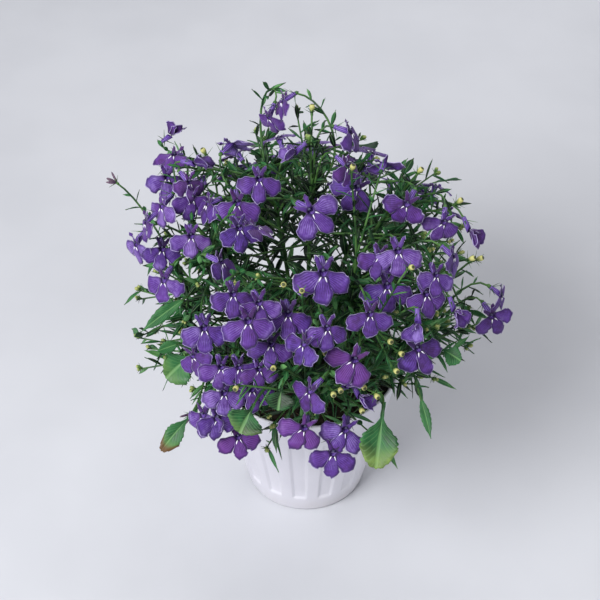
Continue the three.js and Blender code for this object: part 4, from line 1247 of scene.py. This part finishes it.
def addStalks(index, stem, draw):
    bm = bmesh.new()
    addTubes(bm, [tubeAlong(stem["curve"], "stem")], 2)
    thin = [tubeAlong(branch["curve"], "branch") for branch in stem["branches"]]
    addTubes(bm, thin + [tubeAlong(curve, "shoot") for curve in stem["shoots"]], 1)
    bm.loops.layers.uv.new("blade")
    for branch in stem["branches"]:
        if branch["kind"] in ("bloom", "closed"):
            addCalyx(bm, branch["curve"][3], branch["way"], 1.0, draw)
    length, radius = stalkLook["budLength"], plant["budRadius"]
    for bud in stem["buds"]:
        at, way = bud["at"], bud["way"]
        if bud["withered"]:
            addSpentFlower(bm, at - way * 1.5, way, draw)
        else:
            addBudShape(bm, at - way * 1.2, way, length, radius, 1)
        addCalyx(bm, at - way * 1.6, way, 0.75, draw)
    for curve in stem["shoots"]:
        way = unit(curve[3] - curve[2])
        for i in range(stalkLook["shootBuds"]):
            side = unit(np.array([draw() - 0.5, draw() - 0.5, draw() - 0.2]))
            lead = unit(way + side * 0.5)
            size = 0.55 + 0.35 * draw()
            at = curve[3] - way * 1.0 + side * stalkLook["shootBudShift"] * i
            addBudShape(bm, at, lead, length * size, radius * size * 0.9, stalkLook["shootBudRipe"])
            addCalyx(bm, at + lead * 0.3, lead, 0.45, draw)
    bmesh.ops.recalc_face_normals(bm, faces=bm.faces)
    finishPiece(bm, f"stalks_{index + 1}", ["stalk", "bud", "spent"], stem["owner"])


stalkDraw = draws(stalkLook["seed"])
for index, stem in enumerate(stems):
    addStalks(index, stem, stalkDraw)
print("stalks made")

# Leaf blades

bladeLook = {
    "thickness": 0.24, "fold": 0.28, "fineColumns": 2, "fineRows": 5, "smallColumns": 4, "smallRows": 8,
    "broadColumns": 16, "broadRows": 42, "teeth": 8, "toothDepth": 0.13, "seed": 2203, "insidePaintedShade": 0.7,
    "stalkShare": 0.26, "wave": 0.12, "curl": 0.10,
}
# Large leaves that aren't plain, by their place in the list: shade, and how yellow and brown the tip is
largeLooks = {
    0: (0.3, 0.8, 0), 3: (0.45, 0.3, 0), 4: (0.4, 0.35, 1.0), 5: (0.2, 0.3, 0), 7: (0.3, 0, 0),
    8: (0.05, 0, 0),
}


def bladeHalf(share, broad):
    if not broad:
        along = share / 0.45 if share < 0.45 else (1 - share) / 0.55
        return 0.16 + 0.84 * math.sin(max(0, along) * math.pi / 2)
    stalkShare = bladeLook["stalkShare"]
    if share < stalkShare:
        return 0.09 + 0.05 * share
    along = (share - stalkShare) / (1 - stalkShare)
    return 0.1 + 0.9 * math.sin(min(1, along / 0.55) * math.pi / 2) ** 1.5


def bladePlaces(leaf, draw, teeth):
    root, way, side = leaf["root"], leaf["way"], leaf["side"]
    normal = np.cross(side, way)
    if normal[2] < 0:
        normal = -normal
    wave, phase = bladeLook["wave"] * leaf["half"], draw() * fullTurn
    curl = bladeLook["curl"] * leaf["length"] * (draw() - 0.5)

    def place(u, s):
        wide = leaf["half"] * bladeHalf(s, leaf["broad"])
        scallop = abs(math.sin(math.pi * bladeLook["teeth"] * s)) - 0.6
        tooth = 1 + bladeLook["toothDepth"] * teeth * abs(u) ** 4 * scallop
        if leaf["broad"]:
            end = 1 - 0.34 * abs(u) ** 2.6 * s**3 - 0.035 * (1 - abs(math.cos(3 * math.pi * u))) * s**8
        else:
            end = 1 - 0.1 * abs(u) ** 2 * s**3
            wide *= 1 - 0.75 * max(0, s - 0.85) / 0.15
        point = root + way * (leaf["length"] * s * end) + side * (u * wide * tooth)
        point[2] -= leaf["droop"] * s * s
        lift = bladeLook["fold"] * wide * (abs(u) - 0.5) + wave * math.sin(6 * s + phase) * u
        return point + normal * (lift + curl * s * s)

    return place


def addBlades(index, stem, draw):
    look = bladeLook
    bm = startPiece("shade", "aged", "dead", "broad")
    for leaf in stem["leaves"]:
        values = {"shade": 0.15 + 0.7 * draw(), "aged": 0.2 * draw(), "broad": 0.3}
        addSheet(bm, look["smallColumns"], look["smallRows"], bladePlaces(leaf, draw, 0.6), 0, values)
    for leaf in stem["fineLeaves"]:
        # Painted shade: fine leaves deep inside the crown are made darker, the deeper the darker
        inside = 1 - min(1, crownShare(leaf["root"][None])[0])
        values = {"shade": 0.05 + 0.85 * draw() - look["insidePaintedShade"] * inside, "aged": 0.25 * draw()}
        addSheet(bm, look["fineColumns"], look["fineRows"], bladePlaces(leaf, draw, 0), 0, values)
    for leaf in stem["largeLeaves"]:
        shade, aged, dead = largeLooks.get(leaf["number"], (0.4, 0, 0))
        values = {"shade": shade, "aged": aged, "dead": dead, "broad": 1}
        columns = look["broadColumns" if leaf["broad"] else "smallColumns"]
        addSheet(bm, columns, look["broadRows"], bladePlaces(leaf, draw, 1), 0, values)
    finishPiece(bm, f"leaves_{index + 1}", ["leaf"], stem["owner"], look["thickness"])


bladeDraw = draws(bladeLook["seed"])
for index, stem in enumerate(stems):
    addBlades(index, stem, bladeDraw)
print("leaves made")


# Pot and soil

def spun(profile, steps, turn=0.0):
    bm = bmesh.new()
    verts = [bm.verts.new((radius, 0, z)) for radius, z in profile]
    edges = [bm.edges.new(pair) for pair in zip(verts, verts[1:])]
    bmesh.ops.rotate(bm, verts=bm.verts, cent=(0, 0, 0), matrix=Matrix.Rotation(turn, 3, "Z"))
    bmesh.ops.spin(bm, geom=verts + edges, cent=(0, 0, 0), axis=(0, 0, 1), angle=fullTurn, steps=steps,
                   use_merge=True)
    closeSeam(bm, bm.verts)
    bmesh.ops.recalc_face_normals(bm, faces=bm.faces)
    return bm


def addPot():
    base, floor, height, step = pot["baseRadius"], pot["floor"], pot["height"], pot["bandStep"]
    foot = [(base - 0.96 + 1.28 * math.sin(a), pot["footRound"] * (1 - math.cos(a)))
            for a in np.linspace(0, math.pi / 2, pot["footSteps"])]
    outer = [(potRadius(z), z) for z in pot["outerHeights"]]
    inner = [(potRadius(z) - pot["wall"] - step * (height - z) / (height - floor), z)
             for z in pot["innerHeights"]]
    under = [(radius, 0) for radius in pot["floorRings"]]
    inside = [(radius, floor) for radius in reversed(pot["floorRings"])]
    columns = pot["columnsPerPanel"] * pot["panels"]
    bm = spun(under + foot + outer + pot["lip"] + inner + inside, columns, fullTurn / columns / 2)
    for vert in bm.verts:    # strips between the panels go in, up to the bands
        x, y, z = vert.co
        radius = math.hypot(x, y)
        share = (math.degrees(math.atan2(y, x)) * pot["panels"] / 360) % 1
        if radius > potRadius(z) - 0.3 and share > 0.5:
            ends = min(1, max(0, z - pot["lowerBandTop"] + 0.3))
            ends *= min(1, max(0, pot["rimBandBottom"] + 0.3 - z))
            vert.co.xy *= (radius - step * ends) / radius
    return bm


def cutDrains(bm):
    cutter = bmesh.new()
    radius = pot["drainRadius"]
    for i in range(pot["drains"]):
        angle = (i + 0.5) * fullTurn / pot["drains"]
        place = Matrix.Translation(Vector(ringPoint(pot["drainRing"], angle, 1)))
        bmesh.ops.create_cone(cutter, cap_ends=True, segments=32, radius1=radius, radius2=radius,
                              depth=8, matrix=place)
    shell = newObject("shellRaw", meshFrom(bm, "shellRaw"))
    drains = newObject("drainCutter", meshFrom(cutter, "drainCutter"))
    cut = shell.modifiers.new("drains", "BOOLEAN")
    cut.operation, cut.solver, cut.object = "DIFFERENCE", "EXACT", drains
    made = bmesh.new()
    made.from_mesh(shell.evaluated_get(bpy.context.evaluated_depsgraph_get()).to_mesh())
    bpy.data.objects.remove(shell)
    bpy.data.objects.remove(drains)
    return made


def addSoil():
    draw = draws(soil["seed"])
    top, dome, power = soil["top"], soil["dome"], soil["domePower"]
    edge = potRadius(top) - pot["wall"] - pot["bandStep"] - soil["gap"]
    shares = [0, *np.linspace(0.06, 1, soil["rings"])]
    profile = [(edge * share, top + dome * (1 - share**power)) for share in shares]
    bm = spun(profile + [(edge - 1.2, top - 5), (0, top - 6)], soil["turns"])
    for vert in bm.verts:
        if vert.co.z > top - 1:
            vert.co.z += 1.1 * noise.noise(vert.co * 0.28) + 0.5 * noise.noise(vert.co * 0.9)

    def spot(rim, above):
        across, angle = (edge - rim) * math.sqrt(draw()), draw() * fullTurn
        height = top + dome * (1 - (across / edge) ** power) + above
        return Matrix.Translation(Vector(ringPoint(across, angle, height)))

    for i in range(soil["crumbs"]):
        radius = 0.35 + 0.9 * draw() ** 2
        place = spot(1.4, 0.3 * radius)
        shape = Matrix.Diagonal((radius, radius * 0.8, radius * 0.65, 1))
        turn = Matrix.Rotation(draw() * 6, 4, "X") @ shape
        bmesh.ops.create_icosphere(bm, subdivisions=1, radius=1, matrix=place @ turn)
    for i in range(soil["fibres"]):
        place = spot(4, 0.8)
        turn = Matrix.Rotation(draw() * 6.3, 4, "Z") @ Matrix.Rotation(1.35 + 0.3 * draw(), 4, "Y")
        made = bmesh.ops.create_cone(bm, cap_ends=True, segments=5, radius1=0.22, radius2=0.12,
                                     depth=2.5 + 3.5 * draw(), matrix=place @ turn)
        setMaterial(made["verts"], 1)
    return bm


finishPiece(cutDrains(addPot()), "potShell", ["pot"], "pot")
print("pot made")
finishPiece(addSoil(), "soilHeap", ["soil", "fibre"], "soil")
print("soil made")

# Floor and light

stage = {
    "floorSize": 4.0, "aim": (0, 0, 0.09), "worldColour": (0.90, 0.92, 1.0), "worldStrength": 0.20,
    "lamps": [    # name, place, size, watts
        ("key", (-0.45, -0.50, 0.70), 0.42, 10.0),
        ("fill", (0.65, -0.40, 0.45), 0.6, 1.6),
        ("back", (0.15, 0.60, 0.65), 0.5, 3.2),
    ],
}


def addStage():
    bm = bmesh.new()
    bmesh.ops.create_grid(bm, x_segments=8, y_segments=8, size=stage["floorSize"] / 2)
    bmesh.ops.translate(bm, verts=bm.verts, vec=(0, 0, -0.0002))
    floor = newObject("paleFloor", meshFrom(bm, "paleFloor"))
    floor.data.materials.append(looks["floor"])
    for name, place, size, watts in stage["lamps"]:
        lamp = bpy.data.lights.new(name, "AREA")
        lamp.size, lamp.energy = size, watts
        holder = newObject(name, lamp)
        holder.location = place
        holder.rotation_euler = (Vector(place) - Vector(stage["aim"])).to_track_quat("Z", "Y").to_euler()
    world = bpy.data.worlds.new("paleSky")
    world.use_nodes = True
    sky = world.node_tree.nodes["Background"]
    sky.inputs["Color"].default_value = (*stage["worldColour"], 1)
    sky.inputs["Strength"].default_value = stage["worldStrength"]
    bpy.context.scene.world = world
    bpy.context.scene.view_settings.view_transform = "Standard"


addStage()
print("stage made")
